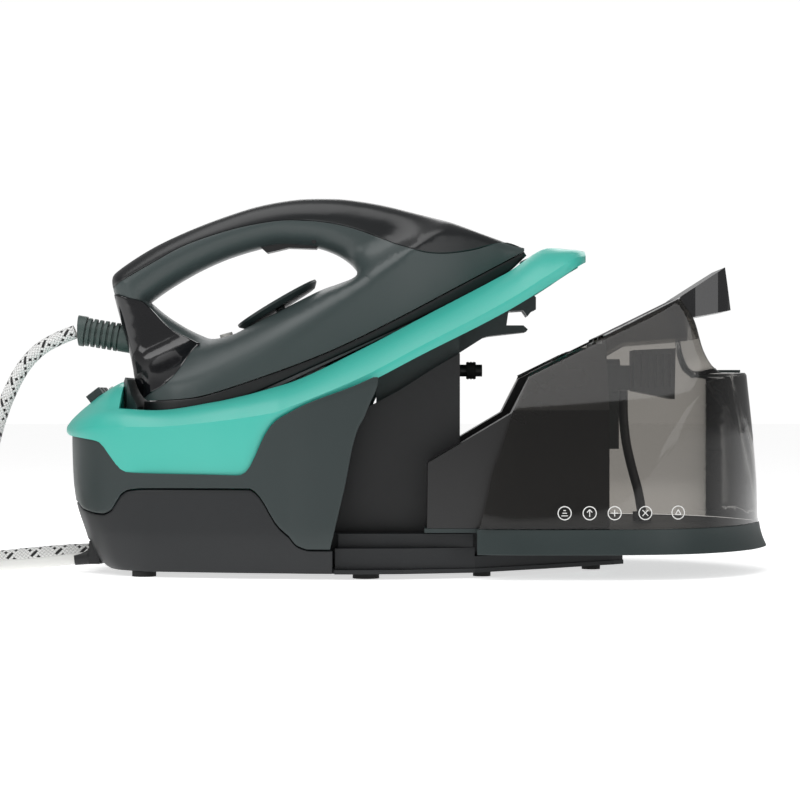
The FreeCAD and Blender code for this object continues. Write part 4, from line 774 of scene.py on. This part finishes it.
# =============================================================================
# teal cover
# =============================================================================
TEAL_T = [
    (-226.0, 18, 89.0, 18, 91.0, 14, 93.2, 7, 94.2, 94.4), (-222.0, 34, 87.4, 34, 91.5, 27, 95.8, 15, 98.0, 98.6),
    (-212.0, 54, 86.0, 54, 92.2, 44, 99.8, 24, 106.0, 107.3), (-200.0, 65.5, 84.0, 66, 93.0, 54, 103.5, 27, 114.8, 116.6),
    (-190.0, 70.0, 72.5, 71, 93.0, 58, 104.5, 28, 119.8, 121.8), (-183.0, 72.5, 64.7, 74, 93.0, 60.5, 104.0, 29, 119.0, 121.0),
    (-165.0, 77.0, 63.8, 79, 93.1, 63.0, 103.2, 30, 104.2, 104.4), (-127.0, 85.5, 63.3, 88, 96.3, 66.0, 108.4, 30, 109.0, 109.2),
    (-111.0, 88.2, 63.0, 90, 98.3, 66.5, 111.8, 30, 112.3, 112.5), (-106.0, 89.0, 65.2, 91, 99.0, 66.3, 113.0, 30, 113.5, 113.7),
    (-101.0, 89.6, 73.8, 91.5, 99.8, 66.0, 114.4, 30, 114.9, 115.1), (-95.0, 90.2, 87.0, 92, 100.8, 65.6, 116.1, 30, 116.6, 116.8),
    (-89.0, 90.8, 95.4, 92.4, 101.9, 65.0, 117.8, 30, 118.3, 118.5), (-80.0, 91.2, 101.0, 92.6, 105.2, 64.2, 120.6, 30, 121.1, 121.3),
    (-36.0, 89.3, 118.2, 90, 123.4, 57.0, 141.4, 28, 141.9, 142.1), (0.0, 81.5, 136.8, 82, 142.4, 49.5, 160.6, 24, 161.0, 161.2),
    (56.0, 62.0, 165.8, 62, 172.2, 33.5, 190.5, 17, 190.8, 190.9), (84.5, 51.0, 183.4, 51, 190.3, 26.0, 206.8, 13, 207.3, 207.5),
    (100.0, 43.5, 193.7, 43.5, 199.6, 22.0, 205.4, 11, 205.7, 205.8), (106.0, 33.0, 197.2, 33, 201.0, 17.0, 204.3, 8, 204.5, 204.6),
]
TX = [r[0] for r in TEAL_T]
TF = [pchip(TX, [r[k] for r in TEAL_T]) for k in range(1, 10)]
TUBP = [(-178.5, 38), (-171.0, 51), (-155.0, 60.0), (-125.0, 61.8), (-100.0, 60.8), (-75.0, 57.6), (-50.0, 52.8), (-25.0, 45.6), (0.0, 36.6), (25.0, 26.0),
        (45.0, 15.6), (58.0, 8.4), (64.0, 3.5)]
tubf = pchip([p[0] for p in TUBP], [p[1] for p in TUBP])


def teal_ring(x, tub):
    yl, zl, yc, zc, yr, zr, yk, zk, zt = [float(f(x)) for f in TF]
    yl = min(yl, yc)
    pts = []
    # lower lip, bevel up to the crease
    for t in (0.0, 0.1, 0.5, 0.9, 1.0):
        pts.append((yl + (yc - yl) * t + 0.5 * math.sin(math.pi * t), zl + (zc - zl) * t))
    # convex bright face to the rim
    bul = min(2.6, 0.10 * math.hypot(yc - yr, zr - zc))
    ny, nz = (zr - zc), (yc - yr)
    L = math.hypot(ny, nz) + 1e-6
    for t in (0.04, 0.15, 0.3, 0.45, 0.6, 0.75, 0.88, 0.96):
        o = bul * math.sin(math.pi * t)
        pts.append((yc + (yr - yc) * t + ny / L * o, zc + (zr - zc) * t + nz / L * o))
    pts.append((yr, zr))
    if tub:
        ti = float(tubf(x)) + 0.25
        ti = min(ti, yr - 0.6)
        pts.append((yr - 0.35 * (yr - ti), zr + 0.12))
        pts.append((ti + 0.8, zr - 0.05))
        pts.append((ti + 0.15, zr - 0.7))
        pts.append((ti, zr - 2.2))
        pts.append((ti, zr - 5.0))
        inner = [(ti + 1.2, zr - 5.2), (ti + 1.4, zr - 3.4), (yr - 0.8, zr - 3.0)]
    else:
        for t in (0.25, 0.5, 0.75, 1.0):
            pts.append((yr + (yk - yr) * t, zr + (zk - zr) * t + (zt - zr) * 0.10 * math.sin(math.pi * t)))
        pts.append((0.0, zt))
        inner = [(0.0, zt - 2.6), (yk, zk - 2.8), (yr - 1.0, zr - 2.8)]
    inner += [(yc - 2.4, zc - 0.8), (yl - 2.2, zl + 0.3)]
    return pts + inner


def teal_strip(xs, tub):
    rs = []
    for x in xs:
        r = teal_ring(x, tub)
        rs.append([(x, y, z) for y, z in r])
    return rs


def stations(a, b, step, fine=()):
    xs = list(np.arange(a, b, step)) + [b]
    for f0, f1, st in fine:
        xs += list(np.arange(f0, f1, st))
    xs = sorted(set(round(float(v), 3) for v in xs if a <= v <= b))
    return xs


fineset = ((-226, -220, 0.5), (-190, -182, 0.8), (-112, -78, 1.0))
tv, tf_ = [], []


def add_loft(rows, cap0, cap1):
    b0 = len(tv)
    nv = len(rows[0])
    for r in rows:
        tv.extend(r)
    for i in range(len(rows) - 1):
        for j in range(nv):
            k = (j + 1) % nv
            tf_.append((b0 + i * nv + j, b0 + i * nv + k, b0 + (i + 1) * nv + k, b0 + (i + 1) * nv + j))
    if cap0:
        tf_.append(tuple(b0 + j for j in range(nv)))
    if cap1:
        tf_.append(tuple(b0 + (len(rows) - 1) * nv + j for j in reversed(range(nv))))


for sg in (1, -1):
    for a, b, tub, c0, c1 in ((-226.0, -187.6, False, False, True), (-187.6, 64.0, True, True, True), (64.0, 106.0, False, True, True)):
        rows = teal_strip(stations(a, b, 3.0, fineset), tub)
        rows = [[(x, y * sg, z) for x, y, z in r] for r in rows]
        add_loft(rows, c0, c1)
cover = new_mesh("teal_cover", tv, tf_, sharp=32, merge=0.01)
finish_piece(cover, TEAL, "base", ("top_cover",))

# =============================================================================
# base housings: a wall swept round the plan, with shaped upper and lower edges
# =============================================================================
MX = [-226.0, -222.0, -219.0, -212.0, -200.0, -190.0, -183.0, -165.0, -127.0, -111.0, -100.0, -80.0, -54.0, -22.0]
MY = [10.0, 24.0, 37.0, 53.0, 65.0, 70.0, 73.0, 79.0, 87.5, 90.5, 92.3, 94.8, 97.3, 98.5]
midf = pchip(MX, MY)
UPL = [(-219.0, 45.2), (-214.5, 41.5), (-200.0, 39.2), (-192.1, 42.5), (-187.0, 50.0), (-183.0, 53.7), (-170.1, 55.4), (-103.6, 55.7), (-98.7, 52.0),
       (-86.5, 32.9), (-80.7, 27.7), (-68.5, 21.1), (-54.6, 18.7)]
uplow = pchip([p[0] for p in UPL], [p[1] for p in UPL])
UPT = [(-222.0, 87.4), (-212.0, 86.0), (-200.0, 84.0), (-190.0, 72.5), (-183.0, 64.7), (-165.0, 63.8), (-127.0, 63.3), (-111.0, 63.0), (-106.0, 65.2),
       (-101.0, 73.8), (-95.0, 87.0), (-89.0, 95.4), (-80.0, 101.0), (-36.0, 118.2), (-25.2, 123.0)]
uptop = pchip([p[0] for p in UPT], [p[1] for p in UPT])
RIGHT = [(18.7, -54.6), (55.0, -46.0), (93.3, -37.2), (97.6, -34.5), (107.3, -30.5), (119.0, -25.6), (123.6, -25.2)]
rightf = pchip([p[0] for p in RIGHT], [p[1] for p in RIGHT])
LEFT = [(3.4, -198.0), (5.3, -201.5), (9.0, -206.0), (16.1, -210.1), (24.5, -212.6), (45.2, -219.0), (60.0, -220.8), (87.3, -221.6), (124.0, -221.6)]
leftf = pchip([p[0] for p in LEFT], [p[1] for p in LEFT])
LOWB = [(-226.0, 3.4), (-178.2, 3.4), (-52.0, 3.4)]


def half_y(x, z):
    """Half width of the housing side at height z."""
    dz = np.clip((28.0 - z) / 25.0, 0, 1)
    return midf(x) - 4.5 * dz ** 1.4


# plan path parameter: from the near right end to the nose on the left
base_x = np.concatenate([np.linspace(-22.0, -182.0, 54), -182.0 - (222.0 - 182.0) * (1 - (1 - np.linspace(0, 1, 22)[1:]) ** 2.0)])


def housing(name, lower, mat, node_nm, inset_=0.0):
    nz = 22
    rows = []
    for sgn in (-1, 1):
        seq = base_x if sgn < 0 else base_x[::-1]
        for xb in seq:
            row = []
            xr = float(xb)
            if lower:
                z0, z1 = 3.4, float(uplow(min(xr, -54.6))) - 0.9
            else:
                z0, z1 = float(uplow(min(xr, -54.6))), float(uptop(xr)) + 0.6
            for k in range(nz):
                t = k / (nz - 1)
                z = z0 + (z1 - z0) * t
                xlim = float(leftf(z))
                # squeeze the left end to its slanted silhouette
                if xr < -170:
                    q = (-170 - xr) / (222.0 - 170.0)
                    x = -170 - q * (-170 - xlim)
                else:
                    x = xr
                # slanted right end
                if xr > -80:
                    q = (xr + 80) / (80.0 - 22.0)
                    xe = float(rightf(z)) if not lower else -53.2
                    x = -80 + q * (xe + 80)
                y = float(half_y(xr, z)) - inset_
                row.append((x, sgn * y, z))
            rows.append(row)
        if sgn < 0:
            # front end face between the two sides
            a = rows[-1]
            n_mid = 7
            for m in range(1, n_mid):
                s = m / n_mid
                row = []
                for k in range(nz):
                    x, y, z = a[k]
                    yy = y + (-y - y) * s
                    cc = 1 - (yy / (abs(y) + 1e-6)) ** 2
                    row.append((x - 0.0 - 1.6 * cc, yy, z))
                rows.append(row)
    P = np.array(rows, float)
    nu, nv = P.shape[:2]
    faces = [(i * nv + j, (i + 1) * nv + j, (i + 1) * nv + j + 1, i * nv + j + 1) for i in range(nu - 1) for j in range(nv - 1)]
    verts = P.reshape(-1, 3)
    if lower:
        hole = lambda c: c[0] < -185 and -42.0 < c[1] < -1.0 and 5.6 < c[2] < 21.0
        faces = [f for f in faces if not hole(verts[list(f)].mean(0))]
    ob = new_mesh(name, verts, faces, sharp=35)
    so = ob.modifiers.new("wall", "SOLIDIFY")
    so.thickness = 0.0022
    so.offset = -1.0
    so.use_even_offset = False
    # the wall grows inwards: outward normals
    bm = bmesh.new()
    bm.from_mesh(ob.data)
    c = Vector((-0.1, 0, 0.06))
    out = sum((f.normal.dot(f.calc_center_median() - c) for f in bm.faces))
    if out < 0:
        bmesh.ops.reverse_faces(bm, faces=bm.faces)
    bm.to_mesh(ob.data)
    bm.free()
    bv = ob.modifiers.new("soft_edge", "BEVEL")
    bv.width = 0.0006
    bv.segments = 2
    bv.limit_method = "ANGLE"
    bv.angle_limit = math.radians(50)
    finish_piece(ob, mat, "base", (node_nm,))
    return ob


housing("side_housing_upper", False, SLATE, "upper_housing")
housing("side_housing_lower", True, DARK, "lower_housing", 1.0)

# =============================================================================
# iron body: one width field over the whole side outline, split at its seams
# =============================================================================
def zs(x):
    return 186.5 + (np.asarray(x, float) - 55.0) * 0.477


PIP = [(-176.0, 30.0), (-171.0, 43.0), (-163.0, 51.0), (-150.0, 55.5), (-125.0, 57.5), (-100.0, 56.6), (-75.0, 53.6), (-50.0, 48.8), (-25.0, 41.8),
       (0.0, 33.0), (25.0, 22.6), (45.0, 12.6), (58.0, 6.4), (68.0, 3.4), (70.4, 2.4)]
planf = pchip([p[0] for p in PIP], [p[1] for p in PIP])
IRP = [(-30.0, 62.0), (12.0, 60.0), (26.0, 56.5), (36.0, 50.0), (45.0, 40.0), (52.0, 29.0), (59.0, 21.0), (68.0, 17.0), (90.0, 16.4), (180.0, 16.4)]
roofw = pchip([p[0] for p in IRP], [p[1] for p in IRP])
HPL = [(-199.0, 13.0), (-192.0, 22.0), (-184.0, 32.0), (-175.0, 40.5), (-166.0, 47.0), (-150.0, 55.0), (-138.0, 58.0)]
heelf = pchip([p[0] for p in HPL], [p[1] for p in HPL])
GRIPT = pchip([-199.0, -190.0, -160.0, -60.0, -30.0, 0.0, 20.0, 40.0, 56.0], [9.5, 14.0, 16.2, 16.2, 16.6, 16.6, 13.4, 8.6, 3.4])


def iron_w(x, z):
    h = z - zs(x)
    w = softmin(planf(x), roofw(h), 5.0)
    w = np.where(x < -140, softmin(w, heelf(x), 3.0), w)
    # the grip above the hole stays narrow
    return np.maximum(w, 1.2)


def iron_r(x, z):
    h = z - zs(x)
    # broad rounding on the grip, small at the tip and the lower edge
    g = smooth01((h - 30.0) / 26.0)
    tip = smooth01((x - 10.0) / 45.0)
    return 5.0 + 9.5 * g * (1 - tip) + 1.0 * tip


SKL = [(-172.2, 109.1), (-160.7, 109.7), (-138.8, 111.8), (-100.9, 123.5), (-56.0, 140.7), (-14.5, 161.2), (26.4, 183.4), (68.6, 206.3)]
B1o = SKL + [(68.6, 208.2), (55.5, 212.0), (40.2, 207.4), (33.6, 205.6), (17.5, 203.2), (3.6, 203.7), (-9.2, 207.4), (-25.2, 213.7), (-41.2, 219.6),
             (-57.1, 223.3), (-73.1, 224.9), (-89.1, 224.9), (-112.9, 221.0), (-132.5, 215.6), (-152.2, 208.3), (-171.9, 197.4), (-187.0, 188.7), (-197.9, 182.2),
             (-197.3, 178.1), (-180.1, 173.9), (-178.0, 173.4), (-172.0, 168.0), (-159.7, 155.5), (-147.0, 149.2), (-139.9, 145.9), (-144.1, 141.1), (-150.5, 130.3), (-158.9, 120.4), (-174.0, 111.2)]
HOLE = [(-173.6, 172.8), (-163.3, 180.3), (-143.5, 192.1), (-123.6, 201.1), (-100.8, 208.0), (-89.7, 209.8), (-76.8, 209.4), (-65.1, 208.1), (-52.2, 203.3),
        (-43.5, 197.4), (-39.6, 192.6), (-39.6, 190.0), (-42.4, 187.5), (-52.1, 183.8), (-61.8, 180.5), (-84.0, 169.5), (-110.0, 156.0), (-119.0, 151.6),
        (-133.2, 149.0), (-143.1, 152.4), (-152.9, 157.5), (-164.7, 165.2)]
HTOPo = [(-198.6, 182.6), (-198.6, 189.6), (-193.6, 194.4), (-173.8, 207.4), (-153.8, 217.3), (-129.0, 227.3), (-104.0, 235.3), (-79.2, 239.6), (-57.5, 240.2),
         (-47.1, 239.7), (-25.3, 236.4), (-3.7, 231.2), (17.8, 225.2), (39.4, 217.6), (55.5, 212.3),
         (40.2, 207.6), (33.6, 205.8), (17.5, 203.4), (3.6, 203.9), (-9.2, 207.6), (-25.2, 213.9), (-41.2, 219.8), (-57.1, 223.5), (-73.1, 225.1), (-89.1, 225.1),
         (-112.9, 221.2), (-132.5, 215.8), (-152.2, 208.5), (-171.9, 197.6), (-187.0, 188.9), (-197.9, 182.4)]
HCo = [(-197.3, 178.0), (-180.1, 173.8), (-178.0, 173.2), (-172.0, 167.9), (-159.7, 155.4), (-147.0, 149.1), (-139.9, 145.7), (-144.3, 141.1), (-150.7, 130.3),
       (-159.1, 120.4), (-174.2, 111.2), (-175.0, 110.2), (-179.2, 116.0), (-181.6, 121.7), (-187.0, 140.0), (-192.5, 160.0)]
UNION = [(-172.2, 109.1)] + SKL[1:] + [(68.6, 208.2), (55.5, 212.3)] + list(reversed(HTOPo[:14])) + [(-197.3, 178.0), (-192.5, 160.0), (-187.0, 140.0), (-181.6, 121.7), (-179.2, 116.0), (-175.0, 110.2)]
un = close(resample(UNION, 2.0, 50))
hl = close(resample(HOLE, 2.0, 50))
# the joint to the black skirt is not rounded
skl = resample(SKL, 2.0, 60, closed=False)
un_r = []
cur = []
for p in un:
    if seg_dist(p[None], [skl])[0] < 2.5:
        if len(cur) > 1:
            un_r.append(np.array(cur))
        cur = []
    else:
        cur.append(p)
if len(cur) > 1:
    un_r.append(np.array(cur))
round_all = un_r + [hl]
seamA = close(resample(HTOPo, 2.0, 45))
seamB = close(resample(HCo, 2.0, 45))
top_seam = resample(HTOPo[14:], 2.0, 60, closed=False)
heel_seam = resample(HCo[:11], 2.0, 60, closed=False)
ib = puff("iron_shell", B1o, [HOLE], iron_w, iron_r, round_all, seam_lines=[top_seam, heel_seam], step=2.4, grid=4.0, corner=50)
finish_piece(ib, IRONG, "iron", ("iron_body",))
ht = puff("grip_top", HTOPo, [], iron_w, iron_r, round_all, seam_lines=[top_seam], step=2.4, grid=4.0, corner=50)
finish_piece(ht, TRIM, "iron", ("handle_top",))
hc = puff("heel_gloss_cover", HCo, [], lambda x, z: iron_w(x, z) - 0.2, lambda x, z: iron_r(x, z) * 0.7, un_r + [], seam_lines=[heel_seam], step=2.0, grid=3.4, corner=50)
finish_piece(hc, GLOSS, "iron", ("heel_cover",))
SKo = [(-171.6, float(zs(-171.6)) + 3.4), (53.4, float(zs(53.4)) + 3.4), (70.2, 203.4), (68.4, 206.0)] + [(p[0], p[1] - 0.3) for p in reversed(SKL[:-1])] + [(-174.6, 108.8), (-174.8, 104.0), (-174.2, float(zs(-171.6)) + 4.4)]
sk = puff("iron_band", SKo, [], lambda x, z: planf(x) - 0.5, lambda x, z: 1.2 + 0 * x, [close(resample(SKo, 2.0, 45))], step=2.4, grid=4.0, corner=45, rings=(0.4, 1.0, 2.0))
finish_piece(sk, BLACK, "iron", ("iron_skirt",))

# =============================================================================
# smoky tank shell and its skirt
# =============================================================================
PTo = [(35.4, 31.0), (39.1, 45.9), (44.0, 67.1), (48.5, 78.8), (56.2, 101.8), (67.6, 126.3), (164.9, 174.6), (172.4, 161.7), (177.2, 140.3), (181.6, 131.2),
       (186.6, 126.9), (206.8, 126.9), (208.2, 125.4), (218.5, 58.3), (220.2, 31.0)]
RFP = [(31.0, 101.0), (60.0, 98.0), (80.0, 95.0), (102.0, 88.0), (126.0, 74.0), (150.0, 59.0), (176.0, 43.0), (190.0, 40.0)]
tr_f = pchip([p[0] for p in RFP], [p[1] for p in RFP])
PTPp = [(20.0, 98.6), (60.0, 99.4), (120.0, 98.5), (140.0, 95.5), (160.0, 89.2), (178.0, 78.0), (193.0, 62.0), (204.0, 45.0), (213.0, 26.0), (219.0, 9.0), (220.5, 5.0)]
tp_f = pchip([p[0] for p in PTPp], [p[1] for p in PTPp])


def tank_w(x, z):
    return softmin(tp_f(x), tr_f(z), 1.6) + 0.7


def tank_keep(x, y, z):
    if z < 31.8 and abs(y) < 110:
        # open bottom
        return False if z < 31.3 else True
    front_edge = np.interp(z, [31.0, 45.9, 67.1, 78.8, 101.8, 126.3], [35.4, 39.1, 44.0, 48.5, 56.2, 67.6])
    if z < 126.0 and abs(x - front_edge) < 0.9:
        return False
    ledge = z > 126.0 and z > 126.3 + (x - 67.6) * 0.4964 - 1.2
    if ledge and x < 115.5 and abs(y) < 62.4:
        return False
    if ledge and x < 172 and abs(y) < 18.6:
        return False
    if 190.5 < x < 203.5 and abs(y) < 21 and 126 < z < 128.2:
        return False
    return True


tl = close(resample(PTo, 2.0, 30))
round_t = []
cur = []
for p in tl:
    fe = np.interp(p[1], [31.0, 45.9, 67.1, 78.8, 101.8, 126.3], [35.4, 39.1, 44.0, 48.5, 56.2, 67.6])
    if p[1] < 31.8 or (p[1] < 125.5 and abs(p[0] - fe) < 2.0):
        if len(cur) > 1:
            round_t.append(np.array(cur))
        cur = []
    else:
        cur.append(p)
if len(cur) > 1:
    round_t.append(np.array(cur))
ts = puff("tank_wall", PTo, [], tank_w, lambda x, z: 4.0 + 0 * x, round_t, step=2.4, grid=4.6, corner=30, keep=tank_keep, cross=14, sharp=45)
finish_piece(ts, SMOKE, "tank", ("tank_shell",))

SKTo = [(34.6, 97.0), (60.0, 99.4), (120.0, 99.4), (141.0, 96.4), (161.0, 90.0), (179.0, 78.5), (194.0, 62.5), (205.0, 45.5), (214.0, 26.0), (219.4, 10.0), (221.3, 0.0)]
SKBo = [(33.6, 100.0), (60.0, 102.8), (120.0, 103.0), (142.5, 100.0), (163.5, 93.6), (182.5, 81.5), (198.0, 65.5), (210.0, 48.0), (219.0, 28.0), (224.6, 10.0), (226.0, 0.0)]


def dense(P, n):
    P = np.array(P, float)
    full = np.vstack([P * [1, -1], (P[::-1])[1:]])
    d = np.concatenate([[0], np.cumsum(np.linalg.norm(np.diff(full, axis=0), axis=1))])
    fx = pchip(d, full[:, 0])
    fy = pchip(d, full[:, 1])
    q = np.linspace(0, d[-1], n)
    return np.stack([fx(q), fy(q)], 1)


T_ = dense(SKTo, 180)
B_ = dense(SKBo, 180)
rows = []
for t in (0.0, 0.02, 0.07, 0.2, 0.4, 0.6, 0.8, 0.93, 0.98, 1.0):
    z = 15.6 + (31.0 - 15.6) * t
    e = 0.35 if t in (0.0, 1.0) else 0.0
    u = t + 0.16 * math.sin(math.pi * t)
    c = B_ * (1 - u) + T_ * u
    rows.append([(p[0] - e, p[1] * (1 - 0.004 * (e > 0)), z) for p in c])
P = np.array(rows)
P[:, :, 0] = np.clip(P[:, :, 0], 34.95, 225.9)
nv, nu = P.shape[0], P.shape[1]
fs = [(k * nu + i, k * nu + i + 1, (k + 1) * nu + i + 1, (k + 1) * nu + i) for k in range(nv - 1) for i in range(nu - 1)]
vv = P.reshape(-1, 3).tolist()
# top ledge reaching inwards under the clear wall
b0 = len(vv)
for i in range(nu):
    x, y = T_[i]
    s = max(0.0, 1 - 3.0 / max(abs(y), 3.0))
    vv.append((max(35.0, min(x, 218.4)), y * s, 31.0))
    vv.append((max(35.0, min(x, 218.0)), y * s, 17.0))
for i in range(nu - 1):
    fs.append(((nv - 1) * nu + i, (nv - 1) * nu + i + 1, b0 + 2 * (i + 1), b0 + 2 * i))
    fs.append((b0 + 2 * i, b0 + 2 * (i + 1), b0 + 2 * (i + 1) + 1, b0 + 2 * i + 1))
    fs.append((i + 1, i, b0 + 2 * i + 1, b0 + 2 * (i + 1) + 1))
def ledge_y(x):
    return float(np.interp(x, [p[0] for p in SKTo], [max(p[1] - 3.0, 0.5) for p in SKTo]))


def plate(x0, x1, y_in, sg):
    xs = np.linspace(x0, x1, 26)
    b = len(vv)
    for x in xs:
        for z in (30.6, 28.0):
            vv.append((x, sg * y_in, z))
            vv.append((x, sg * ledge_y(x), z))
    for i in range(len(xs) - 1):
        a = b + 4 * i
        fs.append((a, a + 1, a + 5, a + 4))
        fs.append((a + 2, a + 6, a + 7, a + 3))
        fs.append((a, a + 4, a + 6, a + 2))
        fs.append((a + 1, a + 3, a + 7, a + 5))
    fs.append((b, b + 2, b + 3, b + 1))
    e = b + 4 * (len(xs) - 1)
    fs.append((e, e + 1, e + 3, e + 2))


for sg in (-1, 1):
    plate(35.0, 114.6, 60.2, sg)
    plate(114.6, 217.5, 0.0, sg)
    # walls of the slot and the floor under each arm
    b = len(vv)
    vv.extend([(3.0, sg * 60.2, 28.2), (36.0, sg * 60.2, 28.2), (36.0, sg * 84.8, 28.2), (3.0, sg * 84.8, 28.2),
               (3.0, sg * 60.2, 30.8), (36.0, sg * 60.2, 30.8), (36.0, sg * 84.8, 30.8), (3.0, sg * 84.8, 30.8)])
    fs.extend([(b, b + 1, b + 2, b + 3), (b + 4, b + 7, b + 6, b + 5), (b, b + 4, b + 5, b + 1), (b + 1, b + 5, b + 6, b + 2), (b + 2, b + 6, b + 7, b + 3), (b + 3, b + 7, b + 4, b)])
skt = new_mesh("tank_skirt_band", vv, fs, sharp=40)
finish_piece(skt, SLATE, "tank", ("tank_skirt",))

# printed pictograms on the near wall
for i, px in enumerate((87.9, 103.1, 118.3, 137.2, 157.9)):
    zc_ = 41.0
    sc_ = 4.3
    vv, fs = [], []
    nseg = 36
    def put(x, z):
        vv.append((x, -(float(tank_w(np.array([x]), np.array([z]))[0]) + 0.12), z))
        return len(vv) - 1
    for s in range(nseg):
        a0, a1 = 2 * math.pi * s / nseg, 2 * math.pi * (s + 1) / nseg
        q = [put(px + r_ * math.cos(a), zc_ + r_ * math.sin(a)) for r_, a in ((sc_, a0), (sc_, a1), (sc_ - 0.62, a1), (sc_ - 0.62, a0))]
        fs.append(tuple(q))
    # a simple mark inside each ring
    def bar(x0, z0, x1, z1, w):
        d = np.array([x1 - x0, z1 - z0])
        d = d / np.linalg.norm(d)
        n = np.array([-d[1], d[0]]) * w / 2
        fs.append(tuple(put(px + a_, zc_ + b_) for a_, b_ in ((x0 + n[0], z0 + n[1]), (x1 + n[0], z1 + n[1]), (x1 - n[0], z1 - n[1]), (x0 - n[0], z0 - n[1]))))
    marks = [((-2, -1.6, 2, -1.6), (-1.4, 0, 1.4, 0), (-0.8, 1.6, 0.8, 1.6)), ((0, -2.2, 0, 2.2), (-1.6, 0.4, 0, 2.2), (1.6, 0.4, 0, 2.2)),
             ((-2, 0, 2, 0), (0, -2, 0, 2)), ((-1.8, -1.8, 1.8, 1.8), (-1.8, 1.8, 1.8, -1.8)), ((-1.8, -1.2, 0, 1.8), (0, 1.8, 1.8, -1.2), (-1.8, -1.2, 1.8, -1.2))][i]
    for m_ in marks:
        bar(*m_, 0.55)
    ic = new_mesh("tank_pictogram_%d" % i, vv, fs, merge=0.0)
    finish_piece(ic, PRINT, "tank")

for ob in NODES.values():
    if not ob.data.materials:
        ob.data.materials.append(BLACK)
